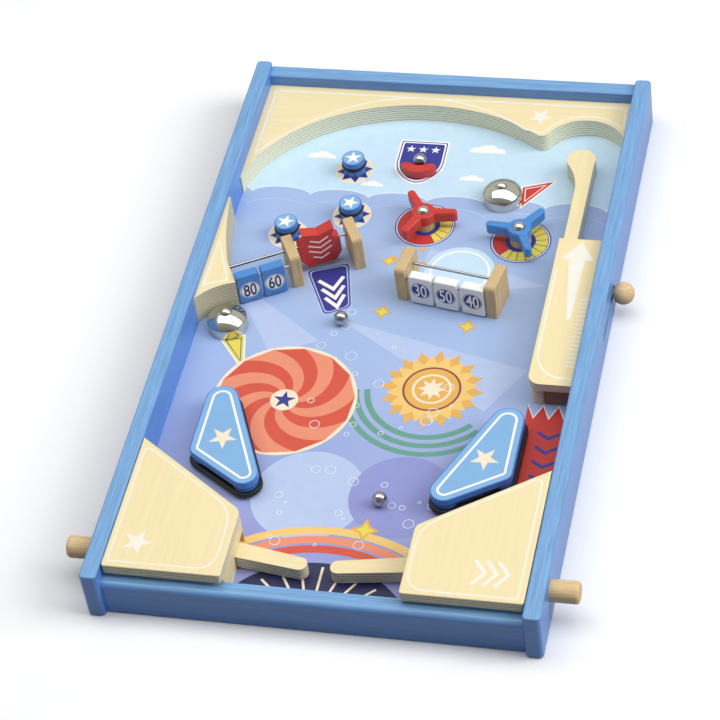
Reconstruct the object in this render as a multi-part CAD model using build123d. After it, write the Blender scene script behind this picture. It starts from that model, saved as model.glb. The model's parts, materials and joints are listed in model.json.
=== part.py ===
from build123d import *
import math
import os

# Tabletop pinball game of painted wood, plywood and steel, in millimetres.
# X runs to the player's right, Y from the player to the back, Z up.
# The origin is the middle of the footprint on the table.

# Case
LENGTH = 600.0
WIDTH = 355.6
RAIL_THICK = 13.8
RAIL_HEIGHT = 46.4
RAIL_END_ROUND = 3.5
RAIL_EDGE_ROUND = 1.6
BACK_RAIL_THICK = 14.0
BACK_RAIL_TOP = 41.0
FRONT_RAIL_THICK = 13.4
FRONT_RAIL_TOP = 33.4
FRONT_RAIL_SETBACK = 5.0
FRONT_RAIL_ROUND = 4.5
CROSS_RAIL_FOOT = 0.6
BOARD_THICK = 4.0
BOARD_TOP = 12.0
GROOVE_DEPTH = 5.0

# General clearances and cuts
OVERRUN = 2.0
RUNNING_FIT = 0.08
SLIDING_FIT = 0.10
MOVING_GAP = 0.4
BALL_GAP = 0.1

# Launch lane, its divider and the arch round the top of the board
GUIDE_THICK = 18.0
LANE_WIDE = 23.4
LANE_BOWL_HALF_SPAN = 36.0
LANE_BOWL_RISE = 33.5
LANE_BOWL_CROWN = 24.5
LANE_MOUTH = 22.0
ARCH_RISE = 120.0
ARCH_CROWN = 16.0
ARCH_LEG_LIFT = 14.0
ARCH_NOSE_RISE = 6.38
ARCH_NOSE_ROUND = 7.0
DIVIDER_WIDE = 11.6
DIVIDER_HEAD_R = 12.4
DIVIDER_HEAD_OFFSET = 0.8
DIVIDER_HEAD_DROP = 16.5
DIVIDER_FIELD_FLARE = 55.0
DIVIDER_LANE_FLARE = 20.0

# Ball launcher
COVER_LONG = 165.5
COVER_OVERHANG = 1.8
COVER_THICK = 8.0
COVER_CORNER_R = 10.0
STOP_BLOCK_INSET = 2.5
STOP_BLOCK_LONG = 27.0
SPRING_LONG = 72.0
SPRING_WIRE_R = 0.65
SPRING_COIL_R = 6.0
SPRING_TURNS = 8
SPRING_WIRE_SIDES = 8
SPRING_END_LONG = 1.3
PLUNGER_LONG = 34.0
PLUNGER_LIFT = 0.5
PLUNGER_HIGH = 16.4
PLUNGER_NOSE_ROUND = 3.0
PLUNGER_TRAVEL = 47.0
KNOB_BACKSET = 20.5
KNOB_Z = 22.0
KNOB_R = 9.4
KNOB_FLAT = 6.8
KNOB_NECK_LONG = 1.6
KNOB_STEM_R = 3.5
KNOB_STEM_DEEP = 12.0
KNOB_SLOT_SLACK = 4.0
KNOB_SLOT_GAP = 0.6

# Bells and dome-head screws
BELL_R = 17.0
BELL_WALL = 1.0
BELL_RIM_GAP = 0.4
BELL_SEAT_Z = 28.4
BELL_CAP_HIGH = 7.4
BELL_SHOULDER_ROUND = 4.0
BELL_POST_R = 5.0
BELL_LEFT_FROM_RAIL = 26.0
BELL_LEFT_BEFORE_GATE = 48.2
BELL_RIGHT_SHARES = (0.5652, 0.5833)
SCREW_SEAT_Z = 30.0
SCREW_HEAD_R = 5.25
SCREW_HEAD_HIGH = 3.4
SCREW_SHANK_R = 2.0

# Three-armed spinners
SPINNER_RED_SHARES = (0.1481, 0.4583)
SPINNER_RED_TURN = 4.0
SPINNER_BLUE_SHARES = (0.7290, 0.4180)
SPINNER_BLUE_TURN = 55.0
SPINNER_REACH = 29.0
SPINNER_HUB_R = 10.0
SPINNER_ARMS = 3
SPINNER_ARM_ROOT_R = 4.2
SPINNER_ARM_TIP_R = 3.3
SPINNER_THICK = 9.6
SPINNER_GAP = 0.3
SPINNER_BEVEL = 0.8
SPINNER_WEB_ROUND = 3.0
SPINNER_SPACER_R = 9.0

# Fixed bumpers and the ball catcher
BUMPER_UPPER_SHARES = (-0.3638, 0.6683)
BUMPER_MIDDLE_SHARES = (-0.3010, 0.4813)
BUMPER_LOWER_SHARES = (-0.6478, 0.3883)
BUMPER_R = 9.8
BUMPER_HIGH = 15.0
BUMPER_EDGE_ROUND = 0.8
RING_R = 1.9
RING_PROUD = 1.0
RING_Z = 20.0
RING_FIT = 0.1
CATCHER_SHARES = (0.0239, 0.6467)
CATCHER_OUTER_R = 18.5
CATCHER_CUP_R = 11.0
CATCHER_WEB = 8.8
CATCHER_HORN_LONG = 11.6
CATCHER_HORN_ROUND = 2.5
CATCHER_THICK = 8.4

# Slingshot kickers above the flippers
KICKER_NOSE_SETBACK = 112.1
KICKER_HEEL_LONG = 23.0
KICKER_LONG = 76.5
KICKER_HEEL_FROM_RAIL = 43.0
KICKER_APEX_LEAN = 4.0
KICKER_WIDE = 40.5
KICKER_APEX_R = 13.5
KICKER_HEEL_R = 9.5
KICKER_NOSE_R = 11.5
KICKER_THICK = 18.0
KICKER_PLATE_THICK = 5.5
KICKER_POST_INSET = 1.2
KICKER_EDGE_ROUND = 0.8
KICKER_LINE_DEEP = 0.9
KICKER_LINE_HIGH = 1.0
KICKER_LINE_Z = 21.4
BAND_Z = 16.2
BAND_HIGH = 4.8
BAND_WIDE = 4.8
BAND_PROUD = 1.85
BAND_ROUND = 1.8
BAND_FIT = 0.1

# Gates with hanging score tiles
POST_WIDE = 9.3
POST_DEEP = 30.5
POST_HIGH = 34.5
POST_FRONT_ROUND = 4.0
POST_REAR_ROUND = 2.5
POST_SIDE_ROUND = 0.9
GATE_ROD_R = 1.25
TILE_AXLE_DEPTH = 2.8
TILE_AXLE_Z = 36.0
STOP_ROD_DEPTH = 19.0
STOP_ROD_Z = 38.4
ROD_BITE = 6.0
TILE_WIDE = 20.0
TILE_THICK = 8.5
TILE_FOOT_GAP = 1.4
TILE_TOP = 43.0
TILE_ROUND = 1.5
TILE_BEVEL = 0.5
LEFT_GATE_FROM_RAIL = 72.15
LEFT_GATE_SHARE = 0.174
LEFT_GATE_TURN = 28.5
LEFT_GATE_LONG = 54.4
LEFT_WEDGE_REACH = 48.6
LEFT_TILE_80_AT = -47.4
LEFT_TILE_60_AT = -25.6
RIGHT_GATE_SHARES = (0.1051, 0.1603)
RIGHT_GATE_TURN = -10.0
RIGHT_GATE_LONG = 79.7
RIGHT_TILE_30_AT = 13.1
RIGHT_TILE_50_AT = 35.3
RIGHT_TILE_40_AT = 58.9

# Wedge on the left rail, which ends the left gate
WEDGE_TOP = 40.0
WEDGE_TIP_WIDE = 1.6
WEDGE_TIP_GAP = 35.0
WEDGE_FACE_FRONT = 1.9
WEDGE_FACE_LONG = 25.9
WEDGE_HOLLOW_FROM_RAIL = 10.0
WEDGE_HOLLOW_SHARE = 0.354
WEDGE_CURVE_FROM_RAIL = 16.5
WEDGE_CURVE_DROP = 30.7
WEDGE_FOOT_DROP = 47.2

# Swinging flap of the left gate
FLAP_WIDE = 36.0
FLAP_THICK = 10.5
FLAP_FOOT_Z = 18.0
FLAP_TOP_Z = 54.5
FLAP_NECK_WIDE = 22.5
FLAP_NECK_Z = 46.0
FLAP_SHOULDER_Z = 41.0
FLAP_TAIL_WIDE = 28.0
FLAP_TAIL_DIP = 4.1
FLAP_FOOT_WIDE = 24.0
FLAP_FOOT_HIGH = 8.0
FLAP_ROUND = 2.5
FLAP_SIDE_GAP = 2.55

# Flippers, their push pegs and the corners that house them
FLIPPER_SHIFT_X = -2.5
FLIPPER_REST_TURN = 8.9
FLIPPER_SWING = 26.0
FLIPPER_LONG = 74.6
FLIPPER_HUB_R = 7.85
FLIPPER_TIP_R = 6.2
FLIPPER_THICK = 12.0
FLIPPER_LIFT = 1.0
FLIPPER_LOBE_R = 5.5
FLIPPER_TAIL_WIDE = 6.4
DRAIN_GAP = 18.2
PIVOT_BEHIND_PEG = 17.9
PIVOT_R = 3.0
PIVOT_COLLAR_R = 6.0
PIVOT_COLLAR_GAP = 0.2
PIVOT_BITE = 4.0
PEG_SETBACK = 24.6
PEG_Z = 28.4
PEG_R = 8.8
PEG_PROUD = 22.8
PEG_END_ROUND = 3.0
PEG_NOTCH_GAP = 0.3
PEG_LIP = 2.7
CORNER_SIDE_GAP = 0.6
CORNER_REACH = 20.0
CORNER_SLOPE_LONG = 65.5
CORNER_BACK_REACH = 18.6
CORNER_OVERHANG = 4.9
CORNER_BACK_ROUND = 9.0
CORNER_FRONT_ROUND = 2.5
CORNER_THICK = 8.9
CORNER_EDGE_ROUND = 0.8
CORNER_WALL_THICK = 4.0
CORNER_BLOCK_REACH = 14.7
CORNER_BLOCK_DROP = 3.9
CORNER_STRIP_WIDE = 11.8
WINDOW_TOP_GAP = 0.6
WINDOW_FRONT_REACH = 11.8
WINDOW_BACK_REACH = 15.5

# Loose steel balls
BALL_R = 6.15
BALL_LEFT_SHARES = (-0.1741, 0.0530)
BALL_FRONT_SHARES = (0.3174, -0.5820)
BALL_CAUGHT_GAP = 2.5

# Case lines that follow from the sizes above
OUTER_X = WIDTH / 2
INNER_X = OUTER_X - RAIL_THICK
BACK_Y = LENGTH / 2
BACK_INNER_Y = BACK_Y - BACK_RAIL_THICK
FRONT_Y = -LENGTH / 2 + FRONT_RAIL_SETBACK
FRONT_INNER_Y = FRONT_Y + FRONT_RAIL_THICK
GUIDE_TOP = BOARD_TOP + GUIDE_THICK

# Lane, arch and field between the left rail and the divider
CHANNEL_LEFT_X = INNER_X - LANE_WIDE
CHANNEL_X = INNER_X - LANE_WIDE / 2
DIVIDER_X = CHANNEL_LEFT_X - DIVIDER_WIDE / 2
DIVIDER_LEFT_X = CHANNEL_LEFT_X - DIVIDER_WIDE
FIELD_X = (DIVIDER_LEFT_X - INNER_X) / 2
FIELD_HALF = (DIVIDER_LEFT_X + INNER_X) / 2
LANE_BOWL_X = INNER_X - LANE_BOWL_HALF_SPAN
LANE_BOWL_Y = BACK_INNER_Y - LANE_BOWL_CROWN - LANE_BOWL_RISE
ARCH_NOSE_X = LANE_BOWL_X - LANE_BOWL_HALF_SPAN * math.sqrt(1 - (ARCH_NOSE_RISE / LANE_BOWL_RISE) ** 2)
ARCH_CENTRE_Y = BACK_INNER_Y - ARCH_CROWN - ARCH_RISE
ARCH_NOSE_SHARE = math.sqrt(1 - ((LANE_BOWL_Y + ARCH_NOSE_RISE - ARCH_CENTRE_Y) / ARCH_RISE) ** 2)
ARCH_HALF_SPAN = (ARCH_NOSE_X + INNER_X) / (1 + ARCH_NOSE_SHARE)
ARCH_CENTRE_X = ARCH_HALF_SPAN - INNER_X
ARCH_LEG_FOOT_Y = ARCH_CENTRE_Y + ARCH_LEG_LIFT
DIVIDER_HEAD_X = LANE_BOWL_X + DIVIDER_HEAD_OFFSET
DIVIDER_HEAD_Y = LANE_BOWL_Y - DIVIDER_HEAD_DROP

# Kickers, flippers and corners, from the front rail back
KICKER_HEEL_X = INNER_X - KICKER_HEEL_FROM_RAIL
KICKER_NOSE_Y = FRONT_INNER_Y + KICKER_NOSE_SETBACK
KICKER_APEX_Y = KICKER_NOSE_Y + KICKER_LONG
PEG_Y = FRONT_INNER_Y + PEG_SETBACK
FLIPPER_PIVOT_Y = PEG_Y + PIVOT_BEHIND_PEG
FLIPPER_SPAN = FLIPPER_LONG * math.cos(math.radians(FLIPPER_REST_TURN))
FLIPPER_DROP = FLIPPER_LONG * math.sin(math.radians(FLIPPER_REST_TURN))
FLIPPER_PIVOT_X = DRAIN_GAP / 2 + FLIPPER_TIP_R + FLIPPER_SPAN
FLIPPER_FOOT = BOARD_TOP + FLIPPER_LIFT
FLIPPER_TOP = FLIPPER_FOOT + FLIPPER_THICK
TAIL_TURN = FLIPPER_SWING / 2
PEG_TRAVEL = 2 * PIVOT_BEHIND_PEG * math.tan(math.radians(TAIL_TURN))
CORNER_FOOT = RAIL_HEIGHT - CORNER_THICK
CORNER_INNER_X = FLIPPER_PIVOT_X - CORNER_REACH
CORNER_BACK_Y = FLIPPER_PIVOT_Y + CORNER_BACK_REACH
CORNER_TIP_Y = CORNER_BACK_Y + CORNER_SLOPE_LONG
CORNER_FRONT_Y = FRONT_INNER_Y - CORNER_OVERHANG

# Launcher, from the lane's mouth back
DIVIDER_FOOT_Y = KICKER_APEX_Y + KICKER_APEX_R + LANE_MOUTH
COVER_LEFT_X = DIVIDER_LEFT_X - COVER_OVERHANG
COVER_FRONT_Y = DIVIDER_FOOT_Y - COVER_OVERHANG
STOP_BLOCK_FRONT_Y = COVER_FRONT_Y + STOP_BLOCK_INSET
SPRING_FRONT_Y = STOP_BLOCK_FRONT_Y + STOP_BLOCK_LONG
PLUNGER_FRONT_Y = SPRING_FRONT_Y + SPRING_LONG
KNOB_Y = PLUNGER_FRONT_Y + KNOB_BACKSET


def field_spot(shares):
    """Plan point from its shares of the field's half width and of the half length."""
    return FIELD_X + shares[0] * FIELD_HALF, shares[1] * LENGTH / 2


# Places on the field
LEFT_GATE_X = LEFT_GATE_FROM_RAIL - INNER_X
LEFT_GATE_Y = LEFT_GATE_SHARE * LENGTH / 2
LEFT_GATE = Location((LEFT_GATE_X, LEFT_GATE_Y, 0), (0, 0, LEFT_GATE_TURN))
RIGHT_GATE = Location((*field_spot(RIGHT_GATE_SHARES), 0), (0, 0, RIGHT_GATE_TURN))
BELL_LEFT_SPOT = (BELL_LEFT_FROM_RAIL - INNER_X, LEFT_GATE_Y - BELL_LEFT_BEFORE_GATE)
BELL_RIGHT_SPOT = field_spot(BELL_RIGHT_SHARES)
BELL_SPOTS = (BELL_LEFT_SPOT, BELL_RIGHT_SPOT)
SPINNER_RED_SPOT = field_spot(SPINNER_RED_SHARES)
SPINNER_BLUE_SPOT = field_spot(SPINNER_BLUE_SHARES)
SPINNER_SPOTS = (SPINNER_RED_SPOT, SPINNER_BLUE_SPOT)
BUMPER_SPOTS = {
    "upper": field_spot(BUMPER_UPPER_SHARES),
    "middle": field_spot(BUMPER_MIDDLE_SHARES),
    "lower": field_spot(BUMPER_LOWER_SHARES),
}
CATCHER_X, CATCHER_FRONT_Y = field_spot(CATCHER_SHARES)
CATCHER_CUP_FRONT_Y = CATCHER_FRONT_Y + CATCHER_WEB
BALL_CAUGHT_SPOT = (CATCHER_X, CATCHER_CUP_FRONT_Y + BALL_CAUGHT_GAP + BALL_R)
UP = (0, 0, 1)


def block(x0, x1, y0, y1, z0, z1):
    """Box between two corners."""
    size = Box(abs(x1 - x0), abs(y1 - y0), abs(z1 - z0))
    return Pos((x0 + x1) / 2, (y0 + y1) / 2, (z0 + z1) / 2) * size


def slab(outline, z0, z1):
    """Flat piece: a plan outline raised from height z0 to height z1."""
    return extrude(Pos(0, 0, z0) * outline, amount=z1 - z0, dir=UP)


def post(x, y, radius, z0, z1):
    """Upright cylinder."""
    return Pos(x, y, (z0 + z1) / 2) * Cylinder(radius, z1 - z0)


def rod_x(x0, x1, y, z, radius):
    """Cylinder lying along X."""
    return Pos((x0 + x1) / 2, y, z) * Rot(0, 90, 0) * Cylinder(radius, x1 - x0)


def plan_hull(*circles):
    """Plan outline wrapped tightly round circles given as x, y and radius."""
    edges = ShapeList()
    for x, y, radius in circles:
        edges += (Pos(x, y) * Circle(radius)).edges()
    return make_hull(edges)


def mirrored(shape, side):
    """The shape as drawn for the right side, or its mirror image for the left."""
    return shape if side > 0 else mirror(shape, about=Plane.YZ)


def soften_top(solid, radius):
    """Round the edges of the highest face."""
    return fillet(solid.faces().sort_by(Axis.Z)[-1].edges(), radius)


def gate_point(gate, along, depth):
    """Plan point of a gate, from its distance along the gate and behind its front."""
    spot = (gate * Pos(along, depth, 0)).position
    return spot.X, spot.Y


def side_rail(side):
    """Long side of the case, with its board groove, peg hole and launcher slot."""
    rail = block(INNER_X, OUTER_X, -LENGTH / 2, LENGTH / 2, 0, RAIL_HEIGHT)
    rail = fillet(rail.edges().filter_by(Axis.Z), RAIL_END_ROUND)
    ends = rail.faces().filter_by(Axis.Z)
    rail = fillet(ends.edges(), RAIL_EDGE_ROUND)
    rail -= block(
        INNER_X - OVERRUN, INNER_X + GROOVE_DEPTH,
        FRONT_INNER_Y - GROOVE_DEPTH, BACK_INNER_Y + GROOVE_DEPTH,
        BOARD_TOP - BOARD_THICK, BOARD_TOP,
    )
    rail -= rod_x(INNER_X - OVERRUN, OUTER_X + OVERRUN, PEG_Y, PEG_Z, PEG_R + SLIDING_FIT)
    if side > 0:
        rail -= knob_slot()
    return mirrored(rail, side)


def knob_slot():
    """Long hole through the right rail in which the launcher knob's stem runs."""
    high = 2 * (KNOB_STEM_R + KNOB_SLOT_GAP)
    long = PLUNGER_TRAVEL + 2 * (KNOB_STEM_R + KNOB_SLOT_SLACK)
    middle = KNOB_Y - PLUNGER_TRAVEL / 2
    face = Plane((INNER_X - OVERRUN, middle, KNOB_Z), x_dir=(0, 1, 0), z_dir=(1, 0, 0))
    return extrude(face * SlotOverall(long, high), amount=RAIL_THICK + 2 * OVERRUN)


def back_rail():
    """Low rail between the sides at the back."""
    rail = block(-INNER_X, INNER_X, BACK_INNER_Y, BACK_Y, CROSS_RAIL_FOOT, BACK_RAIL_TOP)
    rail = fillet(rail.edges().filter_by(Axis.X), RAIL_EDGE_ROUND)
    return rail - board_groove(BACK_INNER_Y, 1)


def front_rail():
    """Low rail between the sides at the player's end, with a rounded lip."""
    rail = block(-INNER_X, INNER_X, FRONT_Y, FRONT_INNER_Y, CROSS_RAIL_FOOT, FRONT_RAIL_TOP)
    long_edges = rail.edges().filter_by(Axis.X)
    lip = long_edges.sort_by(Axis.Y)[:2].sort_by(Axis.Z)[-1]
    rail = fillet(lip, FRONT_RAIL_ROUND)
    return rail - board_groove(FRONT_INNER_Y, -1)


def board_groove(inner_y, outward):
    """Groove in a cross rail that takes the edge of the board."""
    return block(
        -INNER_X - OVERRUN, INNER_X + OVERRUN,
        inner_y - outward * OVERRUN, inner_y + outward * GROOVE_DEPTH,
        BOARD_TOP - BOARD_THICK, BOARD_TOP,
    )


def playfield_board():
    """Thin printed board, let into the rails all round, with its screw and pin holes."""
    foot = BOARD_TOP - BOARD_THICK
    board = block(
        -INNER_X - GROOVE_DEPTH, INNER_X + GROOVE_DEPTH,
        FRONT_INNER_Y - GROOVE_DEPTH, BACK_INNER_Y + GROOVE_DEPTH,
        foot, BOARD_TOP,
    )
    for x, y in BELL_SPOTS + SPINNER_SPOTS:
        board -= post(x, y, SCREW_SHANK_R, foot - OVERRUN, BOARD_TOP + OVERRUN)
    for side in (-1, 1):
        board -= post(pivot_x(side), FLIPPER_PIVOT_Y, PIVOT_R, foot - OVERRUN, BOARD_TOP + OVERRUN)
    return board


def top_arch():
    """Plywood guide round the top of the board: a wide arch beside a small lane bowl."""
    outline = Pos(0, (ARCH_LEG_FOOT_Y + BACK_INNER_Y) / 2) * Rectangle(
        2 * INNER_X, BACK_INNER_Y - ARCH_LEG_FOOT_Y
    )
    outline -= Pos(ARCH_CENTRE_X, ARCH_CENTRE_Y) * Ellipse(ARCH_HALF_SPAN, ARCH_RISE)
    outline -= Pos(LANE_BOWL_X, LANE_BOWL_Y) * Ellipse(LANE_BOWL_HALF_SPAN, LANE_BOWL_RISE)
    lane_foot = ARCH_LEG_FOOT_Y - OVERRUN
    outline -= Pos(LANE_BOWL_X, (lane_foot + LANE_BOWL_Y) / 2) * Rectangle(
        2 * LANE_BOWL_HALF_SPAN, LANE_BOWL_Y - lane_foot
    )
    noses = outline.vertices().filter_by(lambda v: ARCH_CENTRE_X < v.X < LANE_BOWL_X)
    nose = noses.sort_by(Axis.Y)[0]
    outline = fillet(nose, ARCH_NOSE_ROUND)
    return slab(outline, BOARD_TOP, GUIDE_TOP)


def wedge_guide():
    """Tall plywood wedge on the left rail, hollowed round the left bell."""
    tip_y = ARCH_LEG_FOOT_Y - WEDGE_TIP_GAP
    tip = (-INNER_X, tip_y)
    tip_inner = (WEDGE_TIP_WIDE - INNER_X, tip_y)
    face_back = gate_point(LEFT_GATE, -LEFT_WEDGE_REACH, WEDGE_FACE_LONG - WEDGE_FACE_FRONT)
    face_front = gate_point(LEFT_GATE, -LEFT_WEDGE_REACH, -WEDGE_FACE_FRONT)
    hollow_y = face_back[1] + WEDGE_HOLLOW_SHARE * (tip_y - face_back[1])
    hollow = (WEDGE_HOLLOW_FROM_RAIL - INNER_X, hollow_y)
    curve = (WEDGE_CURVE_FROM_RAIL - INNER_X, LEFT_GATE_Y - WEDGE_CURVE_DROP)
    foot = (-INNER_X, LEFT_GATE_Y - WEDGE_FOOT_DROP)
    outline = make_face([
        Line(tip, tip_inner),
        ThreePointArc(tip_inner, hollow, face_back),
        Line(face_back, face_front),
        ThreePointArc(face_front, curve, foot),
        Line(foot, tip),
    ])
    wedge = slab(outline, BOARD_TOP, WEDGE_TOP)
    wedge -= LEFT_GATE * tile_axle(-LEFT_WEDGE_REACH - ROD_BITE, 0)
    wedge -= LEFT_GATE * stop_rod(-LEFT_WEDGE_REACH - ROD_BITE, 0)
    return wedge


def lane_divider():
    """Long plywood bar beside the launch lane, with a paddle head and a rounded foot."""
    half = DIVIDER_WIDE / 2
    foot_y = DIVIDER_FOOT_Y + half
    outline = Pos(DIVIDER_X, (foot_y + DIVIDER_HEAD_Y) / 2) * Rectangle(
        DIVIDER_WIDE, DIVIDER_HEAD_Y - foot_y
    )
    outline += Pos(DIVIDER_X, foot_y) * Circle(half)
    outline += Pos(DIVIDER_HEAD_X, DIVIDER_HEAD_Y) * Rot(0, 0, -60) * Circle(DIVIDER_HEAD_R)
    outline = fillet(divider_neck(outline, -1), DIVIDER_FIELD_FLARE)
    outline = fillet(divider_neck(outline, 1), DIVIDER_LANE_FLARE)
    return slab(outline, BOARD_TOP, GUIDE_TOP)


def divider_neck(outline, side):
    """Corner where the divider's bar meets its head, on the field's or the lane's side."""
    corners = outline.vertices().filter_by(lambda v: side * (v.X - DIVIDER_X) > 0)
    return corners.filter_by(lambda v: v.Y < DIVIDER_HEAD_Y).sort_by(Axis.Y)[-1]


def launcher_cover():
    """Plate over the launcher channel, with one rounded corner."""
    plate = block(
        COVER_LEFT_X, INNER_X, COVER_FRONT_Y, COVER_FRONT_Y + COVER_LONG,
        GUIDE_TOP, GUIDE_TOP + COVER_THICK,
    )
    uprights = plate.edges().filter_by(Axis.Z)
    corner = uprights.sort_by(Axis.X)[:2].sort_by(Axis.Y)[0]
    return fillet(corner, COVER_CORNER_R)


def launcher_stop():
    """Block across the channel on which the launcher spring bears."""
    return block(
        CHANNEL_LEFT_X, INNER_X, STOP_BLOCK_FRONT_Y, SPRING_FRONT_Y, BOARD_TOP, GUIDE_TOP,
    )


def plunger():
    """Wooden block that slides in the channel and strikes the ball."""
    half = LANE_WIDE / 2 - MOVING_GAP
    foot = BOARD_TOP + PLUNGER_LIFT
    body = block(
        CHANNEL_X - half, CHANNEL_X + half,
        PLUNGER_FRONT_Y, PLUNGER_FRONT_Y + PLUNGER_LONG, foot, foot + PLUNGER_HIGH,
    )
    body = fillet(body.faces().sort_by(Axis.Y)[-1].edges().filter_by(Axis.Z), PLUNGER_NOSE_ROUND)
    return body - rod_x(knob_stem_end(), OUTER_X, KNOB_Y, KNOB_Z, KNOB_STEM_R)


def knob_stem_end():
    """Inner end of the knob's stem, inside the plunger."""
    return INNER_X - MOVING_GAP - KNOB_STEM_DEEP


def plunger_knob():
    """Turned ball knob, flat towards the rail, on a stem that passes through the rail's slot."""
    flat_x = OUTER_X + KNOB_NECK_LONG
    centre_x = flat_x + KNOB_FLAT
    ball = Pos(centre_x, KNOB_Y, KNOB_Z) * Sphere(KNOB_R)
    ball -= block(
        centre_x - KNOB_R - OVERRUN, flat_x, KNOB_Y - KNOB_R, KNOB_Y + KNOB_R,
        KNOB_Z - KNOB_R, KNOB_Z + KNOB_R,
    )
    return ball + rod_x(knob_stem_end(), centre_x, KNOB_Y, KNOB_Z, KNOB_STEM_R)


def launcher_spring():
    """Compression spring between the stop block and the plunger: one wound wire."""
    wound = SPRING_LONG - 2 * SPRING_END_LONG - 2 * SPRING_WIRE_R
    pitch = wound / SPRING_TURNS
    frame = Plane((CHANNEL_X, SPRING_FRONT_Y + SPRING_END_LONG + SPRING_WIRE_R, KNOB_Z),
                  x_dir=(1, 0, 0), z_dir=(0, 1, 0))
    path = frame.from_local_coords(Helix(pitch, wound, SPRING_COIL_R))
    section = Plane(path @ 0, z_dir=path % 0) * RegularPolygon(SPRING_WIRE_R, SPRING_WIRE_SIDES)
    spring = sweep(section, path=path, is_frenet=True)
    print("launcher spring: least gap between turns %.2f mm" % (pitch - 2 * SPRING_WIRE_R))
    for end, reach_y in ((path @ 0, SPRING_FRONT_Y), (path @ 1, PLUNGER_FRONT_Y)):
        spring += post_y(end.X, end.Z, SPRING_WIRE_R, min(end.Y, reach_y), max(end.Y, reach_y))
        spring += Pos(end) * Sphere(SPRING_WIRE_R)
    return spring


def post_y(x, z, radius, y0, y1):
    """Cylinder lying along Y."""
    return Pos(x, (y0 + y1) / 2, z) * Rot(90, 0, 0) * Cylinder(radius, y1 - y0)


def bell(x, y):
    """Pressed steel bell: straight skirt, rounded shoulder, domed cap and a screw hole."""
    rim = BOARD_TOP + BELL_RIM_GAP
    outer = bell_section(rim, BELL_R, BELL_SEAT_Z, BELL_SHOULDER_ROUND)
    inner = bell_section(
        rim - OVERRUN, BELL_R - BELL_WALL, BELL_SEAT_Z - BELL_WALL, BELL_SHOULDER_ROUND - BELL_WALL
    )
    shell = revolve(outer, Axis.Z) - revolve(inner, Axis.Z)
    shell -= post(0, 0, SCREW_SHANK_R, rim, BELL_SEAT_Z + OVERRUN)
    return Pos(x, y, 0) * shell


def bell_section(foot, radius, crown, shoulder_round):
    """Half section of a bell's outside or inside, flat under the screw's head."""
    shoulder = crown - BELL_CAP_HIGH
    centre = (SCREW_HEAD_R ** 2 + crown ** 2 - radius ** 2 - shoulder ** 2) / (2 * BELL_CAP_HIGH)
    bulge = math.hypot(SCREW_HEAD_R, crown - centre)
    section = make_face([
        Line((0, foot), (radius, foot)),
        Line((radius, foot), (radius, shoulder)),
        RadiusArc((radius, shoulder), (SCREW_HEAD_R, crown), -bulge),
        Line((SCREW_HEAD_R, crown), (0, crown)),
        Line((0, crown), (0, foot)),
    ])
    edge = section.vertices().sort_by_distance((radius, shoulder))[0]
    return Plane.XZ * fillet(edge, shoulder_round)


def bell_posts():
    """Wooden posts that carry the two bells."""
    high = BELL_SEAT_Z - BELL_WALL
    return [
        post(x, y, BELL_POST_R, BOARD_TOP, high)
        - post(x, y, SCREW_SHANK_R, BOARD_TOP - OVERRUN, high + OVERRUN)
        for x, y in BELL_SPOTS
    ]


def dome_screw(x, y, seat):
    """Dome-head screw whose head sits at a height."""
    bulge = (SCREW_HEAD_R ** 2 + SCREW_HEAD_HIGH ** 2) / (2 * SCREW_HEAD_HIGH)
    crown = seat + SCREW_HEAD_HIGH
    dome = Pos(0, 0, crown - bulge) * Sphere(bulge)
    dome &= post(0, 0, SCREW_HEAD_R, seat, crown + OVERRUN)
    return Pos(x, y, 0) * (dome + post(0, 0, SCREW_SHANK_R, BOARD_TOP - BOARD_THICK, seat))


def dome_screws():
    """Chromed dome-head screws of the bells and the spinners."""
    bells = [dome_screw(x, y, BELL_SEAT_Z) for x, y in BELL_SPOTS]
    return bells + [dome_screw(x, y, SCREW_SEAT_Z) for x, y in SPINNER_SPOTS]


def spinner(x, y, turn):
    """Three-armed paddle that turns on its screw, with bevelled arms and a raised hub boss."""
    top = SCREW_SEAT_Z - SPINNER_GAP
    outline = Circle(SPINNER_HUB_R)
    arm = plan_hull(
        (0, 0, SPINNER_ARM_ROOT_R), (SPINNER_REACH - SPINNER_ARM_TIP_R, 0, SPINNER_ARM_TIP_R)
    )
    for index in range(SPINNER_ARMS):
        outline += Rot(0, 0, index * 360 / SPINNER_ARMS) * arm
    webs = [v for v in outline.vertices() if math.hypot(v.X, v.Y) < SPINNER_HUB_R + SPINNER_GAP]
    outline = fillet(webs, SPINNER_WEB_ROUND)
    paddle = slab(outline, top - SPINNER_THICK, top)
    paddle = chamfer(paddle.faces().sort_by(Axis.Z)[-1].edges(), SPINNER_BEVEL)
    paddle -= post(0, 0, SCREW_SHANK_R + RUNNING_FIT, BOARD_TOP, top + OVERRUN)
    return Pos(x, y, 0) * Rot(0, 0, turn) * paddle


def spinner_spacers():
    """Turned wooden spacers that carry the spinners above the board."""
    high = SCREW_SEAT_Z - 2 * SPINNER_GAP - SPINNER_THICK
    return [
        post(x, y, SPINNER_SPACER_R, BOARD_TOP, high)
        - post(x, y, SCREW_SHANK_R, BOARD_TOP - OVERRUN, high + OVERRUN)
        for x, y in SPINNER_SPOTS
    ]


def ring_centre_r():
    """Radius of the rubber ring's centre line."""
    return BUMPER_R + RING_PROUD - RING_R


def bumper(x, y):
    """Turned peg with a groove for its rubber ring."""
    peg = post(0, 0, BUMPER_R, BOARD_TOP, BOARD_TOP + BUMPER_HIGH)
    peg = soften_top(peg, BUMPER_EDGE_ROUND)
    groove = RING_R + RING_FIT
    cut = post(0, 0, BUMPER_R + OVERRUN, RING_Z - groove, RING_Z + groove)
    cut -= post(0, 0, ring_centre_r() - groove, RING_Z - groove, RING_Z + groove)
    return Pos(x, y, 0) * (peg - cut)


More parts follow.
